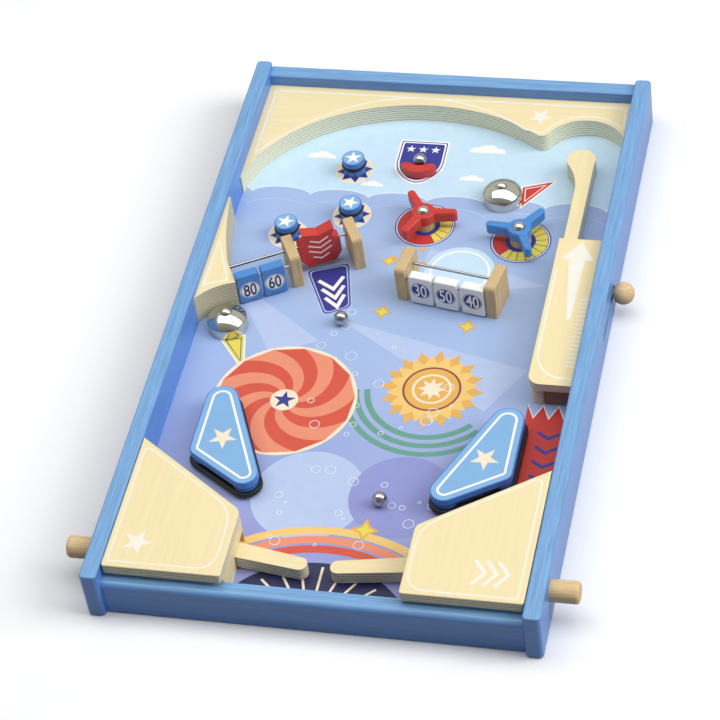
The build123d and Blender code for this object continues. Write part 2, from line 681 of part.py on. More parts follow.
def bumper_rings():
    """Rubber rings of the three bumpers."""
    ring = Torus(ring_centre_r(), RING_R)
    return [Pos(x, y, RING_Z) * ring for x, y in BUMPER_SPOTS.values()]


def ball_catcher():
    """Crescent block whose cup holds a ball."""
    outline = Pos(CATCHER_X, CATCHER_FRONT_Y + CATCHER_OUTER_R) * Circle(CATCHER_OUTER_R)
    outline -= Pos(CATCHER_X, CATCHER_CUP_FRONT_Y + CATCHER_CUP_R) * Circle(CATCHER_CUP_R)
    outline &= Pos(CATCHER_X, CATCHER_FRONT_Y + CATCHER_HORN_LONG / 2) * Rectangle(
        2 * CATCHER_OUTER_R, CATCHER_HORN_LONG
    )
    outline = fillet(outline.vertices(), CATCHER_HORN_ROUND)
    return slab(outline, BOARD_TOP, BOARD_TOP + CATCHER_THICK)


def kicker_corners(inset):
    """Places and radii of the right kicker's three rounded corners, drawn in by an inset."""
    return (
        (KICKER_HEEL_X - KICKER_APEX_LEAN, KICKER_APEX_Y, KICKER_APEX_R - inset),
        (KICKER_HEEL_X, KICKER_NOSE_Y + KICKER_HEEL_LONG, KICKER_HEEL_R - inset),
        (KICKER_HEEL_X - KICKER_WIDE, KICKER_NOSE_Y, KICKER_NOSE_R - inset),
    )


def kicker_outline(inset):
    """Rounded triangle round the right kicker's corners, drawn in by an inset."""
    return plan_hull(*kicker_corners(inset))


def kicker(side):
    """Painted plate on three turned posts, with a groove for the band and a fine line above it."""
    top = BOARD_TOP + KICKER_THICK
    under = top - KICKER_PLATE_THICK
    body = soften_top(slab(kicker_outline(0), under, top), KICKER_EDGE_ROUND)
    for x, y, radius in kicker_corners(KICKER_POST_INSET):
        body += slab(Pos(x, y) * Circle(radius), BOARD_TOP, (under + top) / 2)
    groove = BAND_WIDE - BAND_PROUD + BAND_FIT
    for inset, middle, high in (
        (groove, BAND_Z, BAND_HIGH + 2 * BAND_FIT),
        (KICKER_POST_INSET + KICKER_LINE_DEEP, KICKER_LINE_Z, KICKER_LINE_HIGH),
    ):
        ring = kicker_outline(-OVERRUN) - kicker_outline(inset)
        body -= slab(ring, middle - high / 2, middle + high / 2)
    return mirrored(body, side)


def kicker_band(side):
    """Rubber band stretched round a kicker."""
    ring = kicker_outline(-BAND_PROUD) - kicker_outline(BAND_WIDE - BAND_PROUD)
    band = slab(ring, BAND_Z - BAND_HIGH / 2, BAND_Z + BAND_HIGH / 2)
    rims = [e for face in band.faces().filter_by(Axis.Z) for e in face.outer_wire().edges()]
    return mirrored(fillet(rims, BAND_ROUND), side)


def gate_post(gate, at):
    """Upright wooden block that holds a gate's rods, rounded over its top."""
    body = block(at, at + POST_WIDE, 0, POST_DEEP, BOARD_TOP, BOARD_TOP + POST_HIGH)
    for end, radius in ((0, POST_FRONT_ROUND), (-1, POST_REAR_ROUND)):
        top = body.edges().filter_by(Axis.X).group_by(Axis.Z)[-1]
        body = fillet(top.sort_by(Axis.Y)[end], radius)
    sides = body.edges().filter_by(Axis.Y).group_by(Axis.Z)[-1]
    return gate * fillet(sides, POST_SIDE_ROUND)


def tile_axle(start, end):
    """Thin steel rod on which the tiles hang, in gate coordinates."""
    return rod_x(start, end, TILE_AXLE_DEPTH, TILE_AXLE_Z, GATE_ROD_R)


def stop_rod(start, end):
    """Thin steel rod behind the tiles, in gate coordinates."""
    return rod_x(start, end, STOP_ROD_DEPTH, STOP_ROD_Z, GATE_ROD_R)


def left_axle():
    """Tile axle from the wedge to the left gate's first post."""
    return tile_axle(-LEFT_WEDGE_REACH - ROD_BITE, ROD_BITE)


def left_rod():
    """Rod from the wedge through the first post and the flap to the second post."""
    return stop_rod(-LEFT_WEDGE_REACH - ROD_BITE, LEFT_GATE_LONG + ROD_BITE)


def right_rods():
    """Axle and stop rod between the right gate's posts."""
    start = POST_WIDE - ROD_BITE
    end = RIGHT_GATE_LONG + ROD_BITE
    return [RIGHT_GATE * tile_axle(start, end), RIGHT_GATE * stop_rod(start, end)]


def score_tile(gate, at):
    """Thick wooden tile that hangs on the gate's axle."""
    front = TILE_AXLE_DEPTH - TILE_THICK / 2
    tile = block(
        at, at + TILE_WIDE, front, front + TILE_THICK, BOARD_TOP + TILE_FOOT_GAP, TILE_TOP
    )
    tile = fillet(tile.edges().filter_by(Axis.Y), TILE_ROUND)
    tile = chamfer(tile.faces().filter_by(Axis.Y).edges(), TILE_BEVEL)
    bore = GATE_ROD_R + RUNNING_FIT
    tile -= rod_x(at - OVERRUN, at + TILE_WIDE + OVERRUN, TILE_AXLE_DEPTH, TILE_AXLE_Z, bore)
    return gate * tile


def swing_flap():
    """Shaped flap that turns on the rod between the left gate's posts."""
    middle = POST_WIDE + FLAP_SIDE_GAP + FLAP_WIDE / 2
    right = [
        (FLAP_FOOT_WIDE / 2, FLAP_FOOT_Z),
        (FLAP_WIDE / 2, FLAP_FOOT_Z + FLAP_FOOT_HIGH),
        (FLAP_WIDE / 2, FLAP_SHOULDER_Z),
        (FLAP_NECK_WIDE / 2, FLAP_NECK_Z),
        (FLAP_TAIL_WIDE / 2, FLAP_TOP_Z),
    ]
    left = [(-x, z) for x, z in reversed(right)]
    dip = (0, FLAP_TOP_Z - FLAP_TAIL_DIP)
    outline = make_face(Polyline(*right, dip, *left, close=True))
    corners = outline.vertices().filter_by(lambda v: v.Y < FLAP_NECK_Z)
    outline = fillet(corners, FLAP_ROUND)
    face = Plane((middle, STOP_ROD_DEPTH + FLAP_THICK / 2, 0), x_dir=(1, 0, 0), z_dir=(0, -1, 0))
    flap = extrude(face * outline, amount=FLAP_THICK)
    bore = GATE_ROD_R + RUNNING_FIT
    flap -= rod_x(middle - FLAP_WIDE, middle + FLAP_WIDE, STOP_ROD_DEPTH, STOP_ROD_Z, bore)
    return LEFT_GATE * flap


def pivot_x(side):
    """Pivot of a flipper; the pair stands a little left of the middle."""
    return FLIPPER_SHIFT_X + side * FLIPPER_PIVOT_X


def flipper(side):
    """Plywood flipper: tapered arm, pivot hub and a tail whose lobe the push peg moves."""
    lobe = (PEG_TRAVEL / 2, -PIVOT_BEHIND_PEG)
    outline = plan_hull((0, 0, FLIPPER_HUB_R), (-FLIPPER_SPAN, -FLIPPER_DROP, FLIPPER_TIP_R))
    outline += plan_hull((0, 0, FLIPPER_TAIL_WIDE / 2), (*lobe, FLIPPER_TAIL_WIDE / 2))
    outline += Pos(*lobe) * Circle(FLIPPER_LOBE_R)
    outline -= Circle(PIVOT_R + RUNNING_FIT)
    arm = slab(outline, FLIPPER_FOOT, FLIPPER_TOP)
    return Pos(pivot_x(side), FLIPPER_PIVOT_Y, 0) * mirrored(arm, side)


def flipper_pivots():
    """Steel pivot pins of the flippers, each with a thin collar under the flipper."""
    pins = []
    for side in (-1, 1):
        x = pivot_x(side)
        pin = post(x, FLIPPER_PIVOT_Y, PIVOT_R, BOARD_TOP - BOARD_THICK, CORNER_FOOT + PIVOT_BITE)
        collar_top = FLIPPER_FOOT - PIVOT_COLLAR_GAP
        pins.append(pin + post(x, FLIPPER_PIVOT_Y, PIVOT_COLLAR_R, BOARD_TOP, collar_top))
    return pins


def push_peg(side):
    """Dowel through the side rail, notched underneath for the flipper's lobe."""
    lobe_x = abs(pivot_x(side) + side * PEG_TRAVEL / 2)
    notch = FLIPPER_LOBE_R + PEG_NOTCH_GAP
    inner = lobe_x - notch - PEG_LIP
    outer = OUTER_X + PEG_PROUD
    peg = rod_x(inner, outer, PEG_Y, PEG_Z, PEG_R)
    peg = fillet(peg.faces().sort_by(Axis.X)[-1].edges(), PEG_END_ROUND)
    peg -= block(
        lobe_x - notch, lobe_x + notch, PEG_Y - PEG_R - OVERRUN, PEG_Y + PEG_R + OVERRUN,
        PEG_Z - PEG_R - OVERRUN, FLIPPER_TOP + PEG_NOTCH_GAP,
    )
    return mirrored(peg, side)


def corner_outline():
    """Plan of the right corner's cover plate."""
    outer = INNER_X - CORNER_SIDE_GAP
    points = [
        (outer, CORNER_TIP_Y), (CORNER_INNER_X, CORNER_BACK_Y),
        (CORNER_INNER_X, CORNER_FRONT_Y), (outer, CORNER_FRONT_Y),
    ]
    outline = make_face(Polyline(*points, close=True))
    corners = outline.vertices().sort_by(Axis.X)
    outline = fillet(corners[:2].sort_by(Axis.Y)[-1], CORNER_BACK_ROUND)
    sharp = outline.vertices().filter_by(lambda v: v.Y < CORNER_FRONT_Y + CORNER_FRONT_ROUND)
    return fillet(sharp, CORNER_FRONT_ROUND)


def corner_cover(side):
    """Plywood plate over a flipper's pivot and push peg."""
    cover = soften_top(slab(corner_outline(), CORNER_FOOT, RAIL_HEIGHT), CORNER_EDGE_ROUND)
    x = side * pivot_x(side)
    cover -= post(x, FLIPPER_PIVOT_Y, PIVOT_R, CORNER_FOOT - OVERRUN, CORNER_FOOT + PIVOT_BITE)
    return mirrored(cover, side)


def corner_cut(points):
    """Part of the corner's plan inside a polygon."""
    return corner_outline() & make_face(Polyline(*points, close=True))


def corner_block(side):
    """Thick plywood block behind the flipper, under the cover's sloping edge."""
    inner = CORNER_INNER_X + CORNER_WALL_THICK
    outline = corner_cut([
        (inner, FLIPPER_PIVOT_Y + CORNER_BLOCK_REACH), (INNER_X, FLIPPER_PIVOT_Y - CORNER_BLOCK_DROP),
        (INNER_X, CORNER_TIP_Y), (inner, CORNER_TIP_Y),
    ])
    return mirrored(slab(outline, BOARD_TOP, CORNER_FOOT), side)


def corner_strip(side):
    """Plywood strip in front of the push peg, along the front rail."""
    inner = CORNER_INNER_X + CORNER_WALL_THICK
    outer = INNER_X - CORNER_SIDE_GAP
    strip = block(
        inner, outer, FRONT_INNER_Y, FRONT_INNER_Y + CORNER_STRIP_WIDE, BOARD_TOP, CORNER_FOOT
    )
    return mirrored(strip, side)


def corner_wall(side):
    """Upright wall under the cover's inner edge, with the window that the flipper swings in."""
    inner = CORNER_INNER_X + CORNER_WALL_THICK
    outline = corner_cut([
        (0, FRONT_INNER_Y), (inner, FRONT_INNER_Y), (inner, CORNER_TIP_Y), (0, CORNER_TIP_Y),
    ])
    wall = slab(outline, BOARD_TOP, CORNER_FOOT)
    wall -= block(
        0, inner + OVERRUN,
        FLIPPER_PIVOT_Y - WINDOW_FRONT_REACH, FLIPPER_PIVOT_Y + WINDOW_BACK_REACH,
        BOARD_TOP - OVERRUN, FLIPPER_TOP + WINDOW_TOP_GAP,
    )
    return mirrored(wall, side)


def steel_ball(x, y):
    """Loose steel ball on the board."""
    return Pos(x, y, BOARD_TOP + BALL_R + BALL_GAP) * Sphere(BALL_R)


def save(name, shape):
    """Write one node; a list of like pieces becomes one group of separate solids."""
    if isinstance(shape, list):
        shape = Compound(children=[part.solid() for part in shape])
    export_step(shape, "parts/%s.step" % name)


def main():
    """Build every piece and write its file."""
    os.makedirs("parts", exist_ok=True)
    for word, side in (("left", -1), ("right", 1)):
        save("side_rail_" + word, side_rail(side))
        save("kicker_" + word, kicker(side))
        save("kicker_band_" + word, kicker_band(side))
        save("corner_cover_" + word, corner_cover(side))
        save("corner_block_" + word, corner_block(side))
        save("corner_strip_" + word, corner_strip(side))
        save("corner_wall_" + word, corner_wall(side))
        save("flipper_" + word, flipper(side))
        save("push_peg_" + word, push_peg(side))
    save("flipper_pivots", flipper_pivots())
    save("back_rail", back_rail())
    save("front_rail", front_rail())
    save("playfield_board", playfield_board())
    save("top_arch", top_arch())
    save("wedge_guide", wedge_guide())
    save("lane_divider", lane_divider())
    save("launcher_cover", launcher_cover())
    save("launcher_stop", launcher_stop())
    save("launcher_spring", launcher_spring())
    save("plunger", plunger())
    save("plunger_knob", plunger_knob())
    save("bell_left", bell(*BELL_LEFT_SPOT))
    save("bell_right", bell(*BELL_RIGHT_SPOT))
    save("bell_posts", bell_posts())
    save("dome_screws", dome_screws())
    save("spinner_red", spinner(*SPINNER_RED_SPOT, SPINNER_RED_TURN))
    save("spinner_blue", spinner(*SPINNER_BLUE_SPOT, SPINNER_BLUE_TURN))
    save("spinner_spacers", spinner_spacers())
    for word, spot in BUMPER_SPOTS.items():
        save("bumper_" + word, bumper(*spot))
    save("bumper_rings", bumper_rings())
    save("ball_catcher", ball_catcher())
    axle = LEFT_GATE * left_axle()
    rod = LEFT_GATE * left_rod()
    save("left_gate_axle", axle)
    save("left_gate_rod", rod)
    save("left_gate_post_outer", gate_post(LEFT_GATE, 0) - axle - rod)
    save("left_gate_post_inner", gate_post(LEFT_GATE, LEFT_GATE_LONG) - rod)
    rods = right_rods()
    save("right_gate_rods", rods)
    save("right_gate_post_inner", gate_post(RIGHT_GATE, 0) - rods[0] - rods[1])
    save("right_gate_post_outer", gate_post(RIGHT_GATE, RIGHT_GATE_LONG) - rods[0] - rods[1])
    save("score_tile_80", score_tile(LEFT_GATE, LEFT_TILE_80_AT))
    save("score_tile_60", score_tile(LEFT_GATE, LEFT_TILE_60_AT))
    save("score_tile_30", score_tile(RIGHT_GATE, RIGHT_TILE_30_AT))
    save("score_tile_50", score_tile(RIGHT_GATE, RIGHT_TILE_50_AT))
    save("score_tile_40", score_tile(RIGHT_GATE, RIGHT_TILE_40_AT))
    save("swing_flap", swing_flap())
    save("ball_left", steel_ball(*field_spot(BALL_LEFT_SHARES)))
    save("ball_front", steel_ball(*field_spot(BALL_FRONT_SHARES)))
    save("ball_caught", steel_ball(*BALL_CAUGHT_SPOT))


main()
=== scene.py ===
import json

import bpy
import numpy as np
from mathutils import Matrix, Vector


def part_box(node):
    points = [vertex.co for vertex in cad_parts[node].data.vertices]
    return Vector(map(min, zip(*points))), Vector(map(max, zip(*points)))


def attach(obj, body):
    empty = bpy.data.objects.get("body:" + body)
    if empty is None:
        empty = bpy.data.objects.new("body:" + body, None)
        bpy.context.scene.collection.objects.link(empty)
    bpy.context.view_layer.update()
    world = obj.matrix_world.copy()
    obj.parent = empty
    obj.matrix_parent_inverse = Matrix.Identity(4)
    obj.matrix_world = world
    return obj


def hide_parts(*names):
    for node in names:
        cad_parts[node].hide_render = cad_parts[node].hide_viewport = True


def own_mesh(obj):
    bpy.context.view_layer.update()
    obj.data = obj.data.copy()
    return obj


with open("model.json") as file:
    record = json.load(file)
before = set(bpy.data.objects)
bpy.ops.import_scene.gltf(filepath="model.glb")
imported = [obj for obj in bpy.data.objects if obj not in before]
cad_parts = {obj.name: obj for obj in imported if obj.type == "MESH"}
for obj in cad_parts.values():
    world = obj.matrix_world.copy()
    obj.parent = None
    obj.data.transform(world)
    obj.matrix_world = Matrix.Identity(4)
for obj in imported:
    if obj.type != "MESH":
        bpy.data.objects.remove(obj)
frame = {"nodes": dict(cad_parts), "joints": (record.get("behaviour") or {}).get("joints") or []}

bl_info = {
    "name": "Tabletop pinball game",
    "version": (1, 0, 0),
    "blender": (4, 5, 0),
    "location": "View3D > Sidebar > Pinball",
    "description": "Dresses the pieces of a wooden pinball game with paint, plywood, steel and print",
    "category": "Object",
}

# The frame is in metres. Places and sizes below are in millimetres.
MM = 0.001
NODES = frame["nodes"]
JOINTS = {joint["name"]: joint for joint in frame["joints"]}
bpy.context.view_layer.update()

# Wood: widths of a streak in grains of the settings, lengths in widths, and the grain's depth
PAINT_RUN = 30
FIGURE_WIDE, FIGURE_RUN = 2.5, 14
STREAK_WIDE, STREAK_RUN = 0.9, 16
GRAIN_DEEP = 0.2
# Blender's wave texture of scale 1 has waves of this length, each a light and a dark layer
TEXTURE_WAVE = 0.314
# Soft patches of haze in the board's ground colour
HAZE_WIDE = 83.333

# Print: degrees between the points of an arc, and points on a rounded corner, hull or curve
ARC_STEP = 6.0
CORNER_POINTS = 9
HULL_POINTS = 16
CURVE_POINTS = 60
NUMERAL_BOLD = 0.015

# Plywood covers in the front corners
COVER_BACK_DROP = 65.5
COVER_LINE_WIDE = 1.4
COVER_BORDER_INSETS = {"left": (4.2, 4.0, 5.4, 6.5), "right": (4.2, 5.0, 3.2, 3.8)}
COVER_BORDER_ROUNDS = (17.0, 1.5, 9.0, 17.0)
COVER_STAR_R = 12.6
COVER_STAR_TURN = 288.0
COVER_STAR_PLACE = (22.4, 25.6)
COVER_CHEVRONS_X = (127.0, 136.0, 145.0)
COVER_CHEVRON = ((-6.0, -12.0), (3.0, 0.0), (-6.0, 12.0))
COVER_CHEVRON_WIDE = 3.0

# Launcher cover: the arrow from its tip, the ticks from the rail, and the line round the corner
ARROW_TIP = (19.6, -2.8)
ARROW = ((0, 0), (-14.2, -20.6), (-7.8, -21.4), (0.6, -90.0), (4.0, -90.0), (5.4, -21.4), (13.4, -22.0))
TICKS = 17
TICK_FIRST = 21.0
TICK_STEP = 4.7
TICK_ENDS = (9.0, 0.4)
TICK_WIDE = 1.5
LAUNCHER_BEND = (25.5, 37.0)
LAUNCHER_BEND_HALF = (22.0, 29.0)
LAUNCHER_LINE_BACK = 35.0
LAUNCHER_LINE_WIDE = 1.8

# Kickers: radii of the rounded corners, the step from nose to heel, and the printed top
KICKER_APEX_R = 13.5
KICKER_HEEL_R = 9.5
KICKER_NOSE_R = 11.5
KICKER_HEEL_STEP = 23.0
KICKER_TOP_INSET = 0.9
KICKER_LINE_INSET = 6.2
KICKER_LINE_WIDE = 2.0
KICKER_STAR_R = 12.2
KICKER_STAR_RISE = 1.5
KICKER_STAR_TURNS = {"left": 282.0, "right": 274.0}

# Bumpers: the printed tops, and the discs under them
BUMPER_TOP_R = 8.9
BUMPER_STAR_R = 7.9
BUMPER_STAR_TURNS = {"upper": 98.0, "middle": 75.0, "lower": 84.0}
BUMPER_DISC_R = 17.0
BUMPER_BURST_R = 16.0

# Lines on the arch and wedge: an ellipse, the point of the nose and an ellipse round the bowl
ARCH_LINE_SIDE = 6.4
ARCH_LINE_BACK = 7.0
ARCH_LINE_MIDDLE = (-19.1, 45.9)
ARCH_LINE_HALF = (181.2, 233.0)
ARCH_LINE_REACH = (-158.0, 74.0)
ARCH_NOSE_LINE = ((84.0, 243.4), (88.2, 242.6), (92.6, 245.2))
BOWL_LINE_MIDDLE = (128.0, 228.0)
BOWL_LINE_HALF = (40.0, 38.6)
BOWL_LINE_ANGLES = (146.0, 38.0)
ARCH_LINE_WIDE = 1.6
ARCH_STAR = (85.0, 263.0)
ARCH_STAR_R = 11.4
ARCH_STAR_TURN = 280.0
WEDGE_LINE = ((-160.4, 22.6), (-141.2, 29.6), (-159.6, 76.0))
WEDGE_LINE_WIDE = 1.8

# Launcher spring
SPRING_TURNS = 8
SPRING_WIRE_R = 0.65
SPRING_STEPS = 24
SPRING_SIDES = 10

# Gates: discs as their rise above the tile's middle, and chevrons as foot and half width
TILE_THICK = 8.5
TILE_DISC_RISES = {"80": -1.8, "60": -0.8, "30": 0.8, "50": 0.2, "40": 0.6}
TILE_DISC_R = 8.6
TILE_RING = (7.6, 8.1)
TILE_NUMBER_HIGH = 13.4
TILE_NUMBER_NARROW = 0.62
FLAP_THICK = 10.5
FLAP_CHEVRONS = ((-12.0, 7.0), (-6.0, 10.0), (0.0, 10.0), (6.0, 8.0))
FLAP_LINE_WIDE = 1.3

# Sky on the board: edge of the sea, and clouds as place and scale
WAVE_Y = 166.0
WAVE_PITCH = 52.0
WAVE_RISE = 9.0
WAVE_EDGE = 5.0
WAVE_POINTS = 400
WAVE_SECOND = 16.0
CLOUD_HALF = 1.55
CLOUD_BUMPS = ((-0.9, 0.65), (0.0, 1.0), (0.95, 0.6))
CLOUDS = ((-104.0, 214.0, 8.5), (42.0, 232.0, 10.5), (34.0, 196.0, 7.0), (-52.0, 182.0, 6.5))

# Dials under the spinners: joint, then start and reach of the red field; discs as radius, ink, level
DIALS = (("spinner_red_turn", 100.0, 200.0), ("spinner_blue_turn", 110.0, 120.0))
DIAL_DISCS = ((26.0, "navy", 3), (24.9, "white", 4), (24.0, "navy", 5))
DIAL_FIELD = (13.0, 23.3)
DIAL_SPOKE = (12.8, 23.4)
DIAL_SPOKE_STEP = 20.0
DIAL_SPOKE_WIDE = 0.7

# Signs: outlines, the shield's from the catcher's middle, and borders as inset, ink and level
SHIELD = ((-22, 42), (-22, 2), (0, -14), (20, 4), (19, 42))
SHIELD_ROUNDS = (2.0, 14.0, 12.0, 14.0, 2.0)
SHIELD_BORDERS = ((-1.6, "white", 3), (0.0, "navy", 4), (1.0, "white", 5), (2.4, "navy", 6))
SHIELD_STARS = ((-12.5, 32.0), (-1.5, 32.0), (9.5, 32.0))
SHIELD_STAR_R = 4.6
PANEL = ((-60.1, 23.8), (-39.3, 35.1), (-52.0, 86.4), (-85.9, 73.6))
PANEL_ROUND = 5.0
PANEL_BORDERS = ((-1.2, "haze", 3), (0.0, "navy", 4), (1.2, "haze", 5), (2.2, "navy", 6))
PANEL_MIDLINE = ((-66.0, 74.0), (-50.5, 32.0))
PANEL_CHEVRONS = (0.18, 0.42, 0.66)
PANEL_CHEVRON_TIP = (4.6, -12.0)
PANEL_CHEVRON_WIDE = 3.4
PENNANTS = (
    (((82.7, 167.6), (105.7, 200.5), (80.0, 191.3)), "red", "white"),
    (((-140.0, -12.0), (-114.0, -44.0), (-122.0, -6.0)), "yellow", "navy"),
)
PENNANT_BORDER = 1.2
PENNANT_LINE_INSET = 2.4
PENNANT_LINE_WIDE = 0.9

# Motifs in the middle: places, then sizes, of which those below 2 are shares of the radius
BEAMS = (
    ((-46.0, 20.0), (92.0, -70.0), (120.0, -22.0)),
    ((-150.0, 62.0), (-58.0, -6.0), (-96.0, -24.0)),
    ((120.0, 74.0), (14.0, 110.0), (6.0, 54.0)),
)
PINWHEEL = (-72.0, -74.0)
PINWHEEL_R = 58.0
PINWHEEL_BLADES = 14
PINWHEEL_TWIST = 1.5
PINWHEEL_EYE = 0.10
PINWHEEL_RIM = 2.0
PINWHEEL_HUB = 0.20
PINWHEEL_STAR = 0.17
SUNBURST = (46.0, -50.0)
SUNBURST_R = 43.0
SUNBURST_RAYS = ((1.0, 0.72, 90.0, "amber", 6), (0.88, 0.74, 101.25, "gold", 7))
SUNBURST_DISCS = ((0.56, "maroon", 8), (0.52, "amber", 9), (0.38, "cream", 10), (0.33, "amber", 11))
SUNBURST_STAR = 0.28
RIPPLES = (50.0, 59.0, 68.0)
RIPPLE_WIDE = 5.0
RIPPLE_ANGLES = (186.0, 318.0)
DISCS = ((-30.0, -172.0, 46.0, "haze", 2), (44.0, -166.0, 42.0, "violet", 3))
MOON = (44.0, 84.0, 30.0)
MOON_RING = (0.80, 0.86)
SPARKS = ((-12.0, 32.0, 9.0), (62.0, 22.0, 9.0), (-18.0, 92.0, 7.5), (22.0, -202.0, 12.0))
DOTS = ((-8.0, 104.0), (2.0, 98.0), (-14.0, 96.0), (-4.0, 90.0), (8.0, 108.0), (12.0, 92.0))
DOT_R = 2.4
BUBBLES = 40
BUBBLE_AREA = ((-58.0, -225.0), (72.0, 30.0))
BUBBLE_RADII = (1.4, 5.0)
BUBBLE_WIDE = 0.6

# Drain before the flippers: half an ellipse with rays, and the rainbow in scales of its edge
DRAIN = (-2.5, -300.0)
DRAIN_HALF = (76.0, 62.0)
DRAIN_ANGLES = (12.0, 168.0)
DRAIN_FRONT = -286.0
DRAIN_RAYS = np.arange(30.0, 151.0, 15.0)
DRAIN_RAY = (30.0, 58.0)
DRAIN_RAY_SPREAD = 1.1
DRAIN_RAY_WIDE = 2.0
RAINBOW = (("vermilion", 1.16), ("coral", 1.31), ("gold", 1.46))
RAINBOW_WIDE = 0.12

# Outlane at the right: its jagged end, and chevrons down it
OUTLANE_UNDER_KICKER = 4.0
OUTLANE_TEETH = 7
OUTLANE_TOOTH = (20.0, 6.0)
OUTLANE_FOOT = 6.0
OUTLANE_BORDER = 2.0
OUTLANE_CHEVRONS = 4
OUTLANE_CHEVRON_FIRST = 14.0
OUTLANE_CHEVRON_STEP = 15.0
OUTLANE_CHEVRON = ((-8.0, 6.0), (1.0, 0.0), (10.0, 6.0))
OUTLANE_CHEVRON_WIDE = 3.2

# Photograph's viewpoint: place, right and up of the camera
CAMERA_PLACE = (493.43, -1544.73, 1671.01)
CAMERA_RIGHT = (0.97235, 0.20436, -0.11311)
CAMERA_UP = (-0.07235, 0.72400, 0.68601)
CAMERA_LENS = 140.8
CAMERA_SENSOR = 36.0

# Floor, light and the camera's reach: lengths in metres, turns in radians
CAMERA_FAR = 20.0
FLOOR_REACH = 4.0
FLOOR_DROP = 0.0003
SOFTBOX_PLACE = (0.35, 0.10, 1.8)
SOFTBOX_TURN = (-0.05, 0.16, 0.0)
SOFTBOX_WIDE = 4.6
SOFTBOX_DEEP = 1.3
SOFTBOX_POWER = 45.0
SIDE_TURN = (-0.1, 1.0, 0.0)
SIDE_STRENGTH = 1.1
SIDE_SPREAD = 0.6
WORLD_STRENGTH = 0.2


def linear(hex_text):
    """An sRGB hex colour as linear red, green, blue and full alpha."""
    srgb = np.array([int(hex_text[i:i + 2], 16) for i in (0, 2, 4)]) / 255
    light = np.where(srgb <= 0.04045, srgb / 12.92, ((srgb + 0.055) / 1.055) ** 2.4)
    return (*light.tolist(), 1.0)


def colour(title, use, hex_text):
    """A colour setting with its default."""
    return bpy.props.FloatVectorProperty(
        name=title, description=use, subtype="COLOR", size=4, min=0.0, max=1.0,
        default=linear(hex_text),
    )


def length(title, use, millimetres):
    """A length setting with its default."""
    return bpy.props.FloatProperty(
        name=title, description=use, subtype="DISTANCE", unit="LENGTH", min=0.0,
        precision=5, default=millimetres * MM,
    )


class PinballColours(bpy.types.PropertyGroup):
    """Colours of the finishes and of the printing inks."""

    rail: colour("Rail", "Satin paint on the rails", "5F95E0")
    # Rail top: the rail paint made paler on the tops, a painted sheen rather than wear.
    rail_top_sheen: colour("Rail top", "The same paint worn by hands", "79A7D5")
    kicker: colour("Kicker", "Paint on the kickers and bumpers", "3F78C8")
    spinner: colour("Spinner", "Paint on the blue spinner", "4A8BD0")
    red: colour("Red", "Red paint and ink", "CC3A33")
    tile_blue: colour("Blue tile", "Paint on the left gate's tiles", "4F8DD2")
    tile_white: colour("White tile", "Paint on the right gate's tiles", "F6F6F3")
    ply: colour("Plywood", "Lacquered plywood face", "F6E4B2")
    ply_edge: colour("Plywood edge", "Light layers of a plywood edge", "F0E8CC")
    ply_glue: colour("Plywood glue", "Dark layers of a plywood edge", "A0946E")
    beech: colour("Beech", "Sanded beech", "E0C28F")
    brown: colour("Brown", "Stained wood inside the launcher", "8A6A55")
    hardboard: colour("Hardboard", "Bare underside of the board", "B08A5E")
    chrome: colour("Chrome", "Bright plating on bells and screws", "D8D5C4")
    ball: colour("Ball", "Polished steel of the balls", "B9BABD")
    wire: colour("Wire", "Drawn steel wire", "AEAEB2")
    rubber: colour("Rubber", "Rings and bands", "0F0F11")
    white: colour("White ink", "White print", "FDFBF4")
    chalk: colour("Chalk ink", "Thin white print that lets the plywood through", "F8F3E4")
    cream: colour("Cream ink", "Cream print", "F6E8CC")
    navy: colour("Navy ink", "Navy print", "353990")
    indigo: colour("Indigo ink", "Discs on the white tiles", "2B2F7C")
    midnight: colour("Midnight ink", "Darkest print", "20224E")
    sky: colour("Sky ink", "Palest blue of the board", "C9E4F5")
    mist: colour("Mist ink", "Foam and bubbles", "E3F1FB")
    sea: colour("Sea ink", "Main blue of the board", "A3BBE3")
    haze: colour("Haze ink", "Pale beams", "BACAEB")
    violet: colour("Violet ink", "Blue violet of the board", "9298D2")
    light_blue: colour("Light blue ink", "Tops of kickers and bumpers", "84B4E0")
    yellow: colour("Yellow ink", "Bright yellow print", "E9D955")
    amber: colour("Amber ink", "Orange yellow print", "E8B257")
    gold: colour("Gold ink", "Light orange print", "F3CB79")
    vermilion: colour("Vermilion ink", "Red orange print", "D7553F")
    coral: colour("Coral ink", "Light red orange print", "EC9272")
    green: colour("Green ink", "Sea green print", "67A08D")
    maroon: colour("Maroon ink", "Dark red print", "8A3A40")


class PinballSizes(bpy.types.PropertyGroup):
    """Sizes of print and grain."""

    print_lift: length("Print lift", "Height of one layer of ink", 0.012)
    ply_layer: length("Plywood layers", "Two layers of a plywood edge", 2.6)
    grain: length("Grain", "Width of a streak of grain under paint", 1.6)
    speckle: length("Speckle", "Size of the mottle in printed ink", 2.5)


def palette(name):
    """A colour of the palette as four numbers."""
    return tuple(getattr(bpy.context.scene.pinball_colours, name))


def shade(rgba, factor):
    """A colour made lighter or darker by a factor."""
    return (*(min(1.0, channel * factor) for channel in rgba[:3]), 1.0)


def size(name):
    """A size of the settings, in metres."""
    return getattr(bpy.context.scene.pinball_sizes, name)


def corners(node):
    """Lowest and highest corner of a CAD node, in millimetres."""
    low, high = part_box(node)
    return np.array(low) / MM, np.array(high) / MM


def middle(node):
    """Middle of a CAD node's box, in millimetres."""
    low, high = corners(node)
    return (low + high) / 2


def pivot(joint):
    """Place of a joint, in millimetres."""
    return np.array(JOINTS[joint]["pos_m"]) / MM


def new_material(name):
    """A material with its node tree and its shader."""
    material = bpy.data.materials.new(name)
    material.use_nodes = True
    return material, material.node_tree, material.node_tree.nodes["Principled BSDF"]


